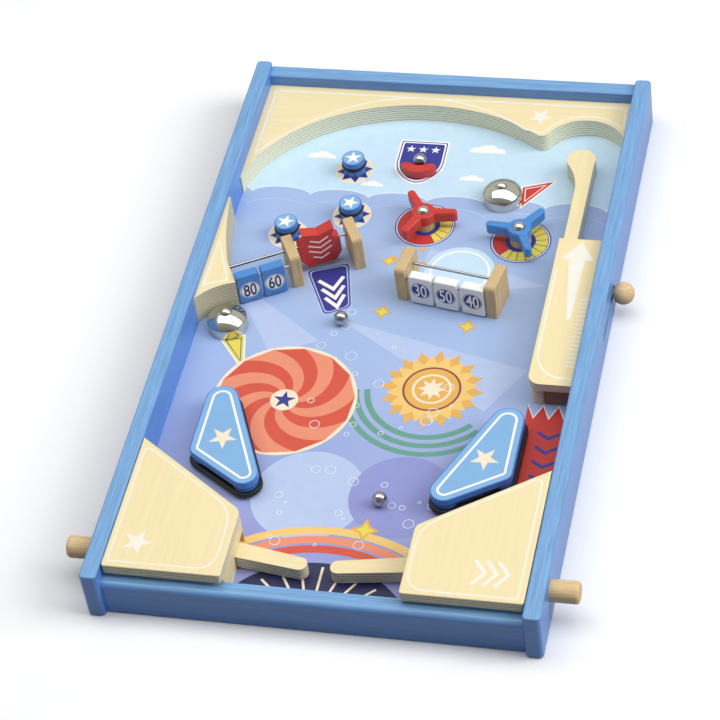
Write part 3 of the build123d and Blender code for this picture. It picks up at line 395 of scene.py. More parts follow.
def fill(tree, node, inputs):
    """Fill a node's inputs, by name or number, with links or values.

    In a colour mix, 0, 6 and 7 are its share and its two colours. In a range, 1 to 4 are its limits
    in and out.
    """
    for socket, value in inputs.items():
        if isinstance(value, bpy.types.NodeSocket):
            tree.links.new(value, node.inputs[socket])
        else:
            node.inputs[socket].default_value = value


def add(tree, kind, inputs=None, **settings):
    """Add a node with its settings, and fill its inputs."""
    made = tree.nodes.new("ShaderNode" + kind)
    for name, value in settings.items():
        setattr(made, name, value)
    fill(tree, made, inputs or {})
    return made


def grain_scale(axis, width, run):
    """Scale of a pattern in streaks of a width, which are longer along the grain by the run."""
    scale = [1 / width] * 3
    scale[axis] /= run
    return scale


def painted_wood(name, rgba, grain_axis, sheen_top=None, streaks=0.14):
    """Satin paint brushed on planed wood: streaks along the grain, soft gloss, and tops painted paler as
    a painted sheen.
    """
    material, tree, shader = new_material(name)
    coords = add(tree, "TexCoord")
    scale = grain_scale(grain_axis, size("grain"), PAINT_RUN)
    along = add(tree, "Mapping", {"Vector": coords.outputs["Object"], "Scale": scale}).outputs[0]
    noise = {"Vector": along, "Scale": 1.0, "Detail": 4.0, "Roughness": 0.65}
    streak = add(tree, "TexNoise", noise).outputs[0]
    spread = add(tree, "MapRange", {"Value": streak, 1: 0.3, 2: 0.7}).outputs[0]
    sheen_top = sheen_top or rgba
    side = add(
        tree, "Mix", {0: spread, 6: shade(rgba, 1 - streaks), 7: shade(rgba, 1 + streaks / 2)},
        data_type="RGBA",
    )
    # Up-facing faces take a lighter colour with brighter streaks: a painted sheen on the tops.
    top = add(
        tree, "Mix", {0: spread, 6: shade(sheen_top, 1 - streaks), 7: shade(sheen_top, 1 + streaks)},
        data_type="RGBA",
    )
    upright = add(tree, "SeparateXYZ", {0: coords.outputs["Normal"]}).outputs["Z"]
    is_top = add(tree, "MapRange", {"Value": upright, 1: 0.2, 2: 0.9}).outputs[0]
    mixed = add(tree, "Mix", {0: is_top, 6: side.outputs[2], 7: top.outputs[2]}, data_type="RGBA")
    bump = add(tree, "Bump", {"Height": streak, "Strength": 0.22, "Distance": GRAIN_DEEP * MM})
    gloss = add(tree, "MapRange", {"Value": streak, 3: 0.24, 4: 0.46})
    fill(tree, shader, {
        "Base Color": mixed.outputs[2], "Normal": bump.outputs[0], "Roughness": gloss.outputs[0],
    })
    return material


def birch_plywood(name, grain_axis, edge_painted_light=1.0):
    """Lacquered birch plywood: pale face with a quiet figure, and edges in light and dark layers."""
    material, tree, shader = new_material(name)
    coords = add(tree, "TexCoord")
    scale = grain_scale(grain_axis, FIGURE_WIDE * size("grain"), FIGURE_RUN)
    along = add(tree, "Mapping", {"Vector": coords.outputs["Object"], "Scale": scale}).outputs[0]
    figure = add(tree, "TexNoise", {"Vector": along, "Scale": 1.0, "Detail": 5.0, "Roughness": 0.6})
    ply, glue, light = palette("ply"), palette("ply_glue"), palette("ply_edge")
    face = add(
        tree, "Mix", {0: figure.outputs[0], 6: shade(ply, 0.90), 7: shade(ply, 1.06)}, data_type="RGBA"
    )
    layers = add(
        tree, "TexWave",
        {"Vector": coords.outputs["Object"], "Scale": TEXTURE_WAVE / size("ply_layer"),
         "Distortion": 1.7, "Detail": 3.0, "Detail Scale": 1.2},
        wave_type="BANDS", bands_direction="Z",
    )
    sharp = add(tree, "MapRange", {"Value": layers.outputs[1], 1: 0.02, 2: 0.36})
    # The edge colours are scaled by a factor: above one it paints light on the edges, below one it
    # paints shade.
    edge = add(
        tree, "Mix", {0: sharp.outputs[0], 6: shade(glue, edge_painted_light), 7: shade(light, edge_painted_light)},
        data_type="RGBA",
    )
    upright = add(tree, "SeparateXYZ", {0: coords.outputs["Normal"]}).outputs["Z"]
    is_face = add(tree, "MapRange", {"Value": upright, 1: 0.55, 2: 0.85}).outputs[0]
    mixed = add(tree, "Mix", {0: is_face, 6: edge.outputs[2], 7: face.outputs[2]}, data_type="RGBA")
    gloss = add(tree, "MapRange", {"Value": is_face, 3: 0.62, 4: 0.40})
    fill(tree, shader, {"Base Color": mixed.outputs[2], "Roughness": gloss.outputs[0]})
    return material


def sanded_wood(name, rgba, grain_axis):
    """Bare sanded beech or birch: fine streaks and short darker flecks along the grain."""
    material, tree, shader = new_material(name)
    place = add(tree, "TexCoord").outputs["Object"]
    scale = grain_scale(grain_axis, STREAK_WIDE * size("grain"), STREAK_RUN)
    along = add(tree, "Mapping", {"Vector": place, "Scale": scale}).outputs[0]
    noise = {"Vector": along, "Scale": 1.0, "Detail": 6.0, "Roughness": 0.62}
    streak = add(tree, "TexNoise", noise).outputs[0]
    fleck = add(tree, "TexVoronoi", {"Vector": along, "Scale": 0.9}, feature="F1")
    spread = add(tree, "MapRange", {"Value": streak, 1: 0.34, 2: 0.66}).outputs[0]
    mixed = add(
        tree, "Mix", {0: spread, 6: shade(rgba, 0.80), 7: shade(rgba, 1.14)}, data_type="RGBA"
    )
    near = add(tree, "MapRange", {"Value": fleck.outputs["Distance"], 1: 0.0, 2: 0.22}).outputs[0]
    flecked = add(
        tree, "Mix", {0: near, 6: shade(rgba, 0.72), 7: mixed.outputs[2]}, data_type="RGBA"
    )
    bump = add(tree, "Bump", {"Height": streak, "Strength": 0.15, "Distance": GRAIN_DEEP * MM})
    fill(tree, shader, {
        "Base Color": flecked.outputs[2], "Normal": bump.outputs[0], "Roughness": 0.55,
    })
    return material


def bright_metal(name, rgba, low, high):
    """Polished or plated steel: mirror reflections, with faint wipe marks in the gloss."""
    material, tree, shader = new_material(name)
    place = add(tree, "TexCoord").outputs["Object"]
    wipe = add(tree, "TexNoise", {"Vector": place, "Scale": 0.25 / size("grain"), "Detail": 3.0})
    mixed = add(
        tree, "Mix", {0: wipe.outputs[0], 6: shade(rgba, 0.94), 7: shade(rgba, 1.04)}, data_type="RGBA"
    )
    gloss = add(tree, "MapRange", {"Value": wipe.outputs[0], 3: low, 4: high})
    fill(tree, shader, {
        "Base Color": mixed.outputs[2], "Roughness": gloss.outputs[0], "Metallic": 1.0,
    })
    return material


def moulded_rubber(name, rgba):
    """Moulded black rubber: dark, dull, with a fine grain and a dusty bloom."""
    material, tree, shader = new_material(name)
    place = add(tree, "TexCoord").outputs["Object"]
    bloom = add(tree, "TexNoise", {"Vector": place, "Scale": 0.4 / size("grain"), "Detail": 5.0})
    mixed = add(
        tree, "Mix", {0: bloom.outputs[0], 6: shade(rgba, 0.7), 7: shade(rgba, 1.6)}, data_type="RGBA"
    )
    fill(tree, shader, {"Base Color": mixed.outputs[2], "Roughness": 0.5})
    return material


def printed_board(name):
    """Printed, varnished hardboard: sea blue, violet at the front, and bare brown fibre underneath."""
    material, tree, shader = new_material(name)
    coords = add(tree, "TexCoord")
    place = coords.outputs["Object"]
    along = add(tree, "SeparateXYZ", {0: place}).outputs["Y"]
    cloudy = add(
        tree, "TexNoise", {"Vector": place, "Scale": 1 / (HAZE_WIDE * MM), "Detail": 3.0}
    ).outputs[0]
    front = add(
        tree, "MapRange", {"Value": along, 1: -0.25, 2: 0.02}, interpolation_type="SMOOTHSTEP"
    )
    sea = add(
        tree, "Mix", {0: front.outputs[0], 6: palette("violet"), 7: palette("sea")}, data_type="RGBA"
    )
    back = add(
        tree, "MapRange", {"Value": along, 1: 0.04, 2: 0.24}, interpolation_type="SMOOTHSTEP"
    )
    water = add(
        tree, "Mix", {0: back.outputs[0], 6: sea.outputs[2], 7: shade(palette("sea"), 0.96)},
        data_type="RGBA",
    )
    soft = add(tree, "MapRange", {"Value": cloudy, 1: 0.3, 2: 0.7, 3: 0.0, 4: 0.30}).outputs[0]
    printed = add(
        tree, "Mix", {0: soft, 6: water.outputs[2], 7: palette("haze")}, data_type="RGBA"
    )
    fibre = add(tree, "TexNoise", {"Vector": place, "Scale": 1 / size("grain"), "Detail": 5.0})
    bare = palette("hardboard")
    under = add(
        tree, "Mix", {0: fibre.outputs[0], 6: shade(bare, 0.82), 7: shade(bare, 1.15)}, data_type="RGBA"
    )
    upright = add(tree, "SeparateXYZ", {0: coords.outputs["Normal"]}).outputs["Z"]
    is_top = add(tree, "MapRange", {"Value": upright, 1: 0.2, 2: 0.9}).outputs[0]
    mixed = add(tree, "Mix", {0: is_top, 6: under.outputs[2], 7: printed.outputs[2]}, data_type="RGBA")
    fill(tree, shader, {"Base Color": mixed.outputs[2], "Roughness": 0.38})
    return material


def ink(name):
    """Screen-printed ink under varnish: near even colour with a slight mottle, satin."""
    title = "ink_" + name
    if title in bpy.data.materials:
        return bpy.data.materials[title]
    material, tree, shader = new_material(title)
    rgba = palette(name)
    place = add(tree, "TexCoord").outputs["Object"]
    mottle = add(tree, "TexNoise", {"Vector": place, "Scale": 0.3 / size("speckle"), "Detail": 4.0})
    mixed = add(
        tree, "Mix", {0: mottle.outputs[0], 6: shade(rgba, 0.93), 7: shade(rgba, 1.05)}, data_type="RGBA"
    )
    fill(tree, shader, {"Base Color": mixed.outputs[2], "Roughness": 0.40})
    return material


def finish(material, *names):
    """Give CAD nodes their material."""
    for name in names:
        piece = NODES[name]
        piece.data.materials.clear()
        piece.data.materials.append(material)


def unit(vectors):
    """Vectors brought to length one."""
    return vectors / np.maximum(np.linalg.norm(vectors, axis=-1, keepdims=True), 1e-9)


def turned(vectors):
    """Plan vectors turned a quarter to the left."""
    return np.column_stack([-vectors[:, 1], vectors[:, 0]])


def arc(x, y, radius, start=0.0, stop=360.0, rise=None):
    """Points on an arc: the middle plus the radius times the cosine and sine of an even angle."""
    count = max(3, int(abs(stop - start) / ARC_STEP) + 1)
    angle = np.radians(np.linspace(start, stop, count))
    return np.column_stack([x + radius * np.cos(angle), y + (rise or radius) * np.sin(angle)])


def circle(x, y, radius):
    """Outline of a disc, without its last, repeated point."""
    return arc(x, y, radius)[:-1]


def star(x, y, radius, tips=5, waist=0.39, turn=90.0):
    """Outline whose radius goes to and fro between the tips and the waist."""
    step = np.arange(2 * tips)
    reach = np.where(step % 2 == 0, radius, radius * waist)
    angle = np.radians(turn + step * 180.0 / tips)
    return np.column_stack([x + reach * np.cos(angle), y + reach * np.sin(angle)])


def inset(points, distance):
    """Outline drawn in: each corner goes to where its two sides cross once they are moved inwards.

    The distance is one number, or one for each side.
    """
    points = np.asarray(points, float)
    after = turned(unit(np.roll(points, -1, axis=0) - points))
    before = np.roll(after, 1, axis=0)
    reach = np.broadcast_to(np.asarray(distance, float), len(points))[:, None]
    first = np.roll(reach, 1, axis=0)
    bend = np.sum(before * after, axis=1, keepdims=True)
    return points + ((first - reach * bend) * before + (reach - first * bend) * after) / (1 - bend ** 2)


def rounded(points, radii):
    """Outline with each corner replaced by a curve that leaves and meets its sides at the radius."""
    points = np.asarray(points, float)
    radii = np.broadcast_to(np.asarray(radii, float), len(points))[:, None]
    start = points + unit(np.roll(points, 1, axis=0) - points) * radii
    stop = points + unit(np.roll(points, -1, axis=0) - points) * radii
    share = np.linspace(0, 1, CORNER_POINTS)[None, :, None]
    curve = (
        start[:, None] * (1 - share) ** 2
        + points[:, None] * 2 * share * (1 - share)
        + stop[:, None] * share ** 2
    )
    return curve.reshape(-1, 2)


def hull(circles):
    """Outline round circles in turn: an arc on each, from one common tangent to the next."""
    circles = np.asarray(circles, float)
    ahead = np.roll(circles, -1, axis=0) - circles
    gap = np.linalg.norm(ahead[:, :2], axis=1)
    leave = np.arctan2(ahead[:, 1], ahead[:, 0]) - np.arccos(-ahead[:, 2] / gap)
    meet = np.roll(leave, 1)
    sweep = (leave - meet) % (2 * np.pi)
    angle = meet[:, None] + sweep[:, None] * np.linspace(0, 1, HULL_POINTS)[None]
    x = circles[:, :1] + circles[:, 2:] * np.cos(angle)
    y = circles[:, 1:2] + circles[:, 2:] * np.sin(angle)
    return np.column_stack([x.ravel(), y.ravel()])


def filled(outline):
    """One flat face inside an outline."""
    return np.asarray(outline, float), [tuple(range(len(outline)))]


def band(near, far, closed=False):
    """Strip of four-sided faces between two rows of points."""
    count = len(near)
    first = np.arange(count if closed else count - 1)
    after = (first + 1) % count
    faces = np.column_stack([first, after, after + count, first + count])
    return np.vstack([near, far]), faces.tolist()


def stroke(path, width, closed=False):
    """Line along a path, which moves half the width to both sides along its mitred normals."""
    path = np.asarray(path, float)
    ahead = np.roll(path, -1, axis=0) - path
    behind = path - np.roll(path, 1, axis=0)
    if not closed:
        ahead[-1] = behind[-1]
        behind[0] = ahead[0]
    side = turned(unit(ahead))
    normal = unit(side + turned(unit(behind)))
    reach = width / 2 / np.maximum(np.sum(normal * side, axis=1, keepdims=True), 0.4)
    return band(path - normal * reach, path + normal * reach, closed)


def ring(x, y, inner, outer, start=0.0, stop=360.0):
    """Part of a ring between two radii and two angles."""
    return band(arc(x, y, inner, start, stop), arc(x, y, outer, start, stop))


def numerals(text, x, y, height, narrow):
    """Printed number: the type's flat outline, scaled to a height and made narrower."""
    curve = bpy.data.curves.new("numerals", "FONT")
    curve.body = text
    curve.offset = NUMERAL_BOLD
    holder = bpy.data.objects.new("numerals", curve)
    bpy.context.scene.collection.objects.link(holder)
    flat = bpy.data.meshes.new_from_object(
        holder.evaluated_get(bpy.context.evaluated_depsgraph_get())
    )
    points = np.empty(3 * len(flat.vertices))
    flat.vertices.foreach_get("co", points)
    points = points.reshape(-1, 3)[:, :2]
    faces = [tuple(polygon.vertices) for polygon in flat.polygons]
    bpy.data.objects.remove(holder)
    bpy.data.curves.remove(curve)
    bpy.data.meshes.remove(flat)
    low, high = points.min(axis=0), points.max(axis=0)
    points = (points - (low + high) / 2) * height / (high[1] - low[1])
    return points * (narrow, 1.0) + (x, y), faces


class Print:
    """Flat shapes printed on one face, gathered into one mesh with a slot for each ink.

    A shape's points are in millimetres on the face: origin plus right and up. Each level lies one
    print lift above the one below it.
    """

    def __init__(self, name, body, origin, right=(1, 0, 0), up=(0, 1, 0)):
        self.name = name
        self.body = body
        self.origin = np.asarray(origin, float)
        self.right = np.asarray(right, float)
        self.up = np.asarray(up, float)
        self.points = []
        self.faces = []
        self.inks = []
        self.slots = []
        self.count = 0

    def lay(self, shape, ink_name, level=1):
        """Add one shape in one ink."""
        points, faces = shape
        flat = points[:, :1] * self.right + points[:, 1:] * self.up + self.origin
        lift = np.cross(self.right, self.up) * level * size("print_lift")
        self.points.append(flat * MM + lift)
        if ink_name not in self.inks:
            self.inks.append(ink_name)
        for face in map(np.array, faces):
            x, y = points[face].T
            area = np.sum(x * np.roll(y, -1) - y * np.roll(x, -1))
            order = face if area > 0 else face[::-1]
            self.faces.append((order + self.count).tolist())
            self.slots.append(self.inks.index(ink_name))
        self.count += len(points)

    def done(self, slot):
        """Make the mesh, give it its inks and let it ride on its body."""
        mesh = bpy.data.meshes.new(self.name)
        mesh.from_pydata(np.vstack(self.points).tolist(), [], self.faces)
        for name in self.inks:
            mesh.materials.append(ink(name))
        mesh.polygons.foreach_set("material_index", self.slots)
        mesh.update()
        piece = bpy.data.objects.new(self.name, mesh)
        bpy.context.scene.collection.objects.link(piece)
        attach(piece, self.body)


def on_top(name, node):
    """A print on the top face of one of the cabinet's CAD nodes, in plan coordinates."""
    return Print(name, "cabinet", (0, 0, corners(node)[1][2]))


def dress_case():
    """Blue rails: streaks run along each rail."""
    # The rails' tops take a paler colour than their sides: a painted sheen.
    finish(painted_wood("rail_paint_long", palette("rail"), 1, palette("rail_top_sheen"), streaks=0.22),
           "side_rail_left", "side_rail_right")
    finish(painted_wood("rail_paint_cross", palette("rail"), 0, palette("rail_top_sheen"), streaks=0.22),
           "back_rail", "front_rail")


def dress_plywood():
    """Plywood guides, plates and flippers, and the solid birch under the corner covers."""
    finish(birch_plywood("birch_plywood_long", 1), "lane_divider", "launcher_cover",
           "corner_cover_left", "corner_cover_right")
    # The wedge's edges are darkened as painted shade, and the arch's edges are lightened as painted
    # light.
    finish(birch_plywood("birch_plywood_tall", 1, edge_painted_light=0.84), "wedge_guide")
    finish(birch_plywood("birch_plywood_arch", 0, edge_painted_light=1.3), "top_arch")
    finish(birch_plywood("birch_plywood_cross", 0), "flipper_left", "flipper_right")
    finish(sanded_wood("sanded_birch", palette("ply"), 1), "corner_block_left", "corner_block_right",
           "corner_strip_left", "corner_strip_right", "corner_wall_left", "corner_wall_right")


def dress_beech():
    """Bare beech: posts, pegs, knob and spacers, and the stained block in the launcher."""
    finish(sanded_wood("beech_upright", shade(palette("beech"), 0.88), 2),
           "left_gate_post_outer", "left_gate_post_inner", "right_gate_post_inner",
           "right_gate_post_outer", "bell_posts", "spinner_spacers")
    finish(sanded_wood("beech_cross", shade(palette("beech"), 1.04), 0),
           "push_peg_left", "push_peg_right", "plunger_knob", "plunger")
    finish(sanded_wood("stained_block", palette("brown"), 0), "launcher_stop")


def dress_metal():
    """Plated bells and screws, polished balls, and drawn wire with the spring wound from it."""
    finish(bright_metal("plated_steel", palette("chrome"), 0.03, 0.09),
           "bell_left", "bell_right", "dome_screws")
    finish(bright_metal("polished_steel", palette("ball"), 0.04, 0.10),
           "ball_left", "ball_front", "ball_caught")
    wire = bright_metal("drawn_wire", palette("wire"), 0.10, 0.22)
    finish(wire, "left_gate_axle", "left_gate_rod", "right_gate_rods", "flipper_pivots")
    wind_spring(wire)


def wind_spring(material):
    """Launcher spring, which the plunger presses together: a wire carried along a helix.

    The line's angle grows evenly along its length. Round it, a point is the wire's radius times the
    cosine along the coil's outward direction and the sine along the direction square to both.
    """
    low, high = corners("launcher_spring")
    middle_x, _, middle_z = (low + high) / 2
    turn = np.linspace(0, 2 * np.pi * SPRING_TURNS, SPRING_TURNS * SPRING_STEPS + 1)
    outward = np.column_stack([np.cos(turn), 0 * turn, np.sin(turn)])
    line = outward * ((high[0] - low[0]) / 2 - SPRING_WIRE_R) + (middle_x, 0, middle_z)
    line[:, 1] = np.linspace(low[1] + SPRING_WIRE_R, high[1] - SPRING_WIRE_R, len(turn))
    square = np.cross(unit(np.gradient(line, axis=0)), outward)
    around = np.linspace(0, 2 * np.pi, SPRING_SIDES, endpoint=False)[None, :, None]
    wire = np.cos(around) * outward[:, None] + np.sin(around) * square[:, None]
    points = (line[:, None] + SPRING_WIRE_R * wire).reshape(-1, 3)
    first = np.arange(len(points) - SPRING_SIDES).reshape(-1, SPRING_SIDES)
    after = np.roll(first, -1, axis=1)
    faces = np.stack([first, after, after + SPRING_SIDES, first + SPRING_SIDES], axis=-1)
    faces = faces.reshape(-1, 4)
    ends = [list(range(SPRING_SIDES))[::-1], list(range(len(points) - SPRING_SIDES, len(points)))]
    mesh = bpy.data.meshes.new("spring_coil")
    mesh.from_pydata((points * MM).tolist(), [], faces.tolist() + ends)
    mesh.materials.append(material)
    mesh.shade_smooth()
    mesh.update()
    piece = bpy.data.objects.new("spring_coil", mesh)
    bpy.context.scene.collection.objects.link(piece)
    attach(piece, "cabinet")
    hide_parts("launcher_spring")
    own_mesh(piece)


def dress_rubber():
    """Rings of the bumpers and bands of the kickers."""
    finish(moulded_rubber("black_rubber", palette("rubber")),
           "bumper_rings", "kicker_band_left", "kicker_band_right")


def kicker_circles(side, shrink):
    """Corner circles of a kicker, drawn in, in turn to the left."""
    low, high = corners("kicker_right")
    nose = (low[0] + KICKER_NOSE_R, low[1] + KICKER_NOSE_R, KICKER_NOSE_R - shrink)
    heel = (high[0] - KICKER_HEEL_R, nose[1] + KICKER_HEEL_STEP, KICKER_HEEL_R - shrink)
    apex = (high[0] - KICKER_APEX_R, high[1] - KICKER_APEX_R, KICKER_APEX_R - shrink)
    if side > 0:
        return [nose, heel, apex]
    return [(-x, y, r) for x, y, r in (apex, heel, nose)]


def dress_kickers():
    """Kickers: dark blue sides, light blue top, white line and cream star."""
    finish(painted_wood("kicker_paint", palette("kicker"), 1),
           "kicker_left", "kicker_right")
    for word, side in (("left", -1), ("right", 1)):
        top = on_top("kicker_print_" + word, "kicker_" + word)
        top.lay(filled(hull(kicker_circles(side, KICKER_TOP_INSET))), "light_blue")
        line = hull(kicker_circles(side, KICKER_LINE_INSET))
        top.lay(stroke(line, KICKER_LINE_WIDE, closed=True), "white", 2)
        x, y, _ = np.mean(kicker_circles(side, 0), axis=0)
        mark = star(x, y + KICKER_STAR_RISE, KICKER_STAR_R, turn=KICKER_STAR_TURNS[word])
        top.lay(filled(mark), "cream", 2)
        top.done("blue_paint")


def dress_bumpers():
    """Bumpers: dark blue turned sides, light blue top and white star."""
    finish(painted_wood("bumper_paint", palette("kicker"), 2),
           "bumper_upper", "bumper_middle", "bumper_lower")
    for word, turn in BUMPER_STAR_TURNS.items():
        x, y, _ = middle("bumper_" + word)
        top = on_top("bumper_print_" + word, "bumper_" + word)
        top.lay(filled(circle(x, y, BUMPER_TOP_R)), "light_blue")
        top.lay(filled(star(x, y, BUMPER_STAR_R, turn=turn)), "white", 2)
        top.done("blue_paint")


def dress_red_pieces():
    """Red spinner, flap and catcher, and the blue spinner."""
    finish(painted_wood("red_paint", palette("red"), 0),
           "spinner_red", "swing_flap", "ball_catcher")
    finish(painted_wood("spinner_paint", palette("spinner"), 0), "spinner_blue")


def gate_face(name, node, joint, thick):
    """A print on the front of a piece that hangs in a gate, from the middle of that face."""
    right = np.array(JOINTS[joint]["axis"], float)
    up = np.array((0.0, 0.0, 1.0))
    body = JOINTS[joint]["child"]
    return Print(name, body, middle(node) + np.cross(right, up) * thick / 2, right, up)


def dress_tiles():
    """Score tiles: painted blocks, each with a printed disc and its number."""
    finish(painted_wood("tile_paint_blue", palette("tile_blue"), 2),
           "score_tile_80", "score_tile_60")
    finish(painted_wood("tile_paint_white", palette("tile_white"), 2, streaks=0.03),
           "score_tile_30", "score_tile_50", "score_tile_40")
    for number, rise in TILE_DISC_RISES.items():
        on_blue = number in ("80", "60")
        inks = ("white", "navy", "midnight") if on_blue else ("indigo", "white", "white")
        disc, line, type_ink = inks
        face = gate_face("tile_print_" + number, "score_tile_" + number,
                         "tile_%s_swing" % number, TILE_THICK)
        face.lay(filled(circle(0, rise, TILE_DISC_R)), disc)
        face.lay(ring(0, rise, *TILE_RING), line, 2)
        face.lay(numerals(number, 0, rise, TILE_NUMBER_HIGH, TILE_NUMBER_NARROW), type_ink, 3)
        face.done("tile_paint")


def dress_flap():
    """Flap: rows of white chevrons down its front."""
    face = gate_face("flap_print", "swing_flap", "flap_turn", FLAP_THICK)
    for foot, half in FLAP_CHEVRONS:
        ends = foot + half / 2
        face.lay(stroke([(-half, ends), (0, foot), (half, ends)], FLAP_LINE_WIDE), "white")
    face.done("red_paint")


def cover_outline(side):
    """Plan corners of a front corner's cover, in turn to the left."""
    low, high = corners("corner_cover_right")
    slant = high[1] - COVER_BACK_DROP
    points = [(low[0], low[1]), (high[0], low[1]), (high[0], high[1]), (low[0], slant)]
    if side > 0:
        return points
    return [(-x, y) for x, y in reversed(points)]


def dress_covers():
    """Corner covers: a white line round each, a star on the left and chevrons on the right."""
    low, high = corners("corner_cover_right")
    for word, side in (("left", -1), ("right", 1)):
        top = on_top("cover_print_" + word, "corner_cover_" + word)
        rounds = COVER_BORDER_ROUNDS if side > 0 else COVER_BORDER_ROUNDS[::-1]
        outline = inset(cover_outline(side), COVER_BORDER_INSETS[word])
        top.lay(stroke(rounded(outline, rounds), COVER_LINE_WIDE, closed=True), "chalk")
        y = low[1] + COVER_STAR_PLACE[1]
        if side < 0:
            x = COVER_STAR_PLACE[0] - high[0]
            top.lay(filled(star(x, y, COVER_STAR_R, turn=COVER_STAR_TURN)), "chalk")
        else:
            for x in COVER_CHEVRONS_X:
                top.lay(stroke(np.add(COVER_CHEVRON, (x, y)), COVER_CHEVRON_WIDE), "chalk")
        top.done("printed_ply")


def dress_launcher():
    """Launcher cover: a white arrow, a row of ticks along the rail and a line round the corner."""
    top = on_top("launcher_print", "launcher_cover")
    low, high = corners("launcher_cover")
    tip = np.add((low[0], high[1]), ARROW_TIP)
    top.lay(filled(tip + ARROW), "chalk")
    start, stop = high[0] - TICK_ENDS[0], high[0] - TICK_ENDS[1]
    for index in range(TICKS):
        y = low[1] + TICK_FIRST + index * TICK_STEP
        top.lay(stroke([(start, y), (stop, y)], TICK_WIDE), "chalk")
    wide, deep = LAUNCHER_BEND_HALF
    bend = arc(*np.add(low[:2], LAUNCHER_BEND), wide, 180, 270, rise=deep)
    first, last = (bend[0][0], high[1] - LAUNCHER_LINE_BACK), (stop, bend[-1][1])
    top.lay(stroke(np.vstack([first, bend, last]), LAUNCHER_LINE_WIDE), "chalk")
    top.done("printed_ply")


def arch_line():
    """Line along the hollow: an ellipse, the point of the nose and an ellipse round the bowl."""
    x = np.linspace(*ARCH_LINE_REACH, CURVE_POINTS)
    share = (x - ARCH_LINE_MIDDLE[0]) / ARCH_LINE_HALF[0]
    wide = np.column_stack([x, ARCH_LINE_MIDDLE[1] + ARCH_LINE_HALF[1] * np.sqrt(1 - share ** 2)])
    bowl = arc(*BOWL_LINE_MIDDLE, BOWL_LINE_HALF[0], *BOWL_LINE_ANGLES, rise=BOWL_LINE_HALF[1])
    return np.vstack([wide, ARCH_NOSE_LINE, bowl])


def dress_arch():
    """Arch: a white line round its face, and a star above the nose."""
    top = on_top("arch_print", "top_arch")
    low, high = corners("top_arch")
    hollow = arch_line()
    back = high[1] - ARCH_LINE_BACK
    frame_line = [(high[0] - ARCH_LINE_SIDE, back), (low[0] + ARCH_LINE_SIDE, back)]
    top.lay(stroke(hollow, ARCH_LINE_WIDE), "chalk")
    top.lay(stroke([hollow[-1], *frame_line, hollow[0]], ARCH_LINE_WIDE), "chalk", 2)
    top.lay(filled(star(*ARCH_STAR, ARCH_STAR_R, turn=ARCH_STAR_TURN)), "chalk", 2)
    top.done("printed_ply")


def dress_wedge():
    """Wedge: a white triangle drawn in line."""
    top = on_top("wedge_print", "wedge_guide")
    top.lay(stroke(WEDGE_LINE, WEDGE_LINE_WIDE, closed=True), "chalk")
    top.done("printed_ply")


def waves(y):
    """Edge of the sea: a row of crests, the height following the root of one less nearly a square."""
    low, high = corners("playfield_board")
    x = np.linspace(low[0] + WAVE_EDGE, high[0] - WAVE_EDGE, WAVE_POINTS)
    phase = (x / WAVE_PITCH) % 1.0 * 2 - 1
    return np.column_stack([x, y + WAVE_RISE * np.sqrt(1 - 0.98 * phase ** 2)])


def cloud(sheet, x, y, scale):
    """Cloud: the upper edge is the highest of three circles, above a flat base."""
    across = np.linspace(-CLOUD_HALF, CLOUD_HALF, CURVE_POINTS)
    at, radius = np.array(CLOUD_BUMPS).T[:, :, None]
    upper = np.sqrt(np.maximum(radius ** 2 - (across - at) ** 2, 0)).max(axis=0)
    base = np.column_stack([x + across * scale, y + 0 * across])
    sheet.lay(band(base, base + np.column_stack([0 * across, upper * scale])), "white", 3)


def print_sky(sheet):
    """Sky behind the targets, above a row of waves, and clouds."""
    crest = waves(WAVE_Y)
    back = corners("back_rail")[0][1]
    sheet.lay(band(crest, np.column_stack([crest[:, 0], np.full(len(crest), back)])), "sky", 1)
    sheet.lay(stroke(crest, 1.2), "mist", 2)
    sheet.lay(stroke(waves(WAVE_Y - WAVE_SECOND), 1.0), "haze", 2)
    for place in CLOUDS:
        cloud(sheet, *place)


def print_dials(sheet):
    """Dials under the spinners: navy rings, a red half and yellow fields parted by navy lines."""
    for joint, turn, reach in DIALS:
        x, y, _ = pivot(joint)
        for radius, ink_name, level in DIAL_DISCS:
            sheet.lay(filled(circle(x, y, radius)), ink_name, level)
        sheet.lay(ring(x, y, *DIAL_FIELD, turn, turn + reach), "red", 6)
        sheet.lay(ring(x, y, *DIAL_FIELD, turn + reach, turn + 360.0), "yellow", 6)
        for angle in np.radians(np.arange(turn + reach, turn + 360.1, DIAL_SPOKE_STEP)):
            spoke = np.outer(DIAL_SPOKE, (np.cos(angle), np.sin(angle))) + (x, y)
            sheet.lay(stroke(spoke, DIAL_SPOKE_WIDE), "navy", 7)


def print_bumper_discs(sheet):
    """Cream discs under the bumpers, each with a ring of navy points."""
    for word in BUMPER_STAR_TURNS:
        x, y, _ = middle("bumper_" + word)
        sheet.lay(filled(circle(x, y, BUMPER_DISC_R)), "cream", 3)
        sheet.lay(filled(star(x, y, BUMPER_BURST_R, tips=8, waist=0.62, turn=12.0)), "navy", 4)


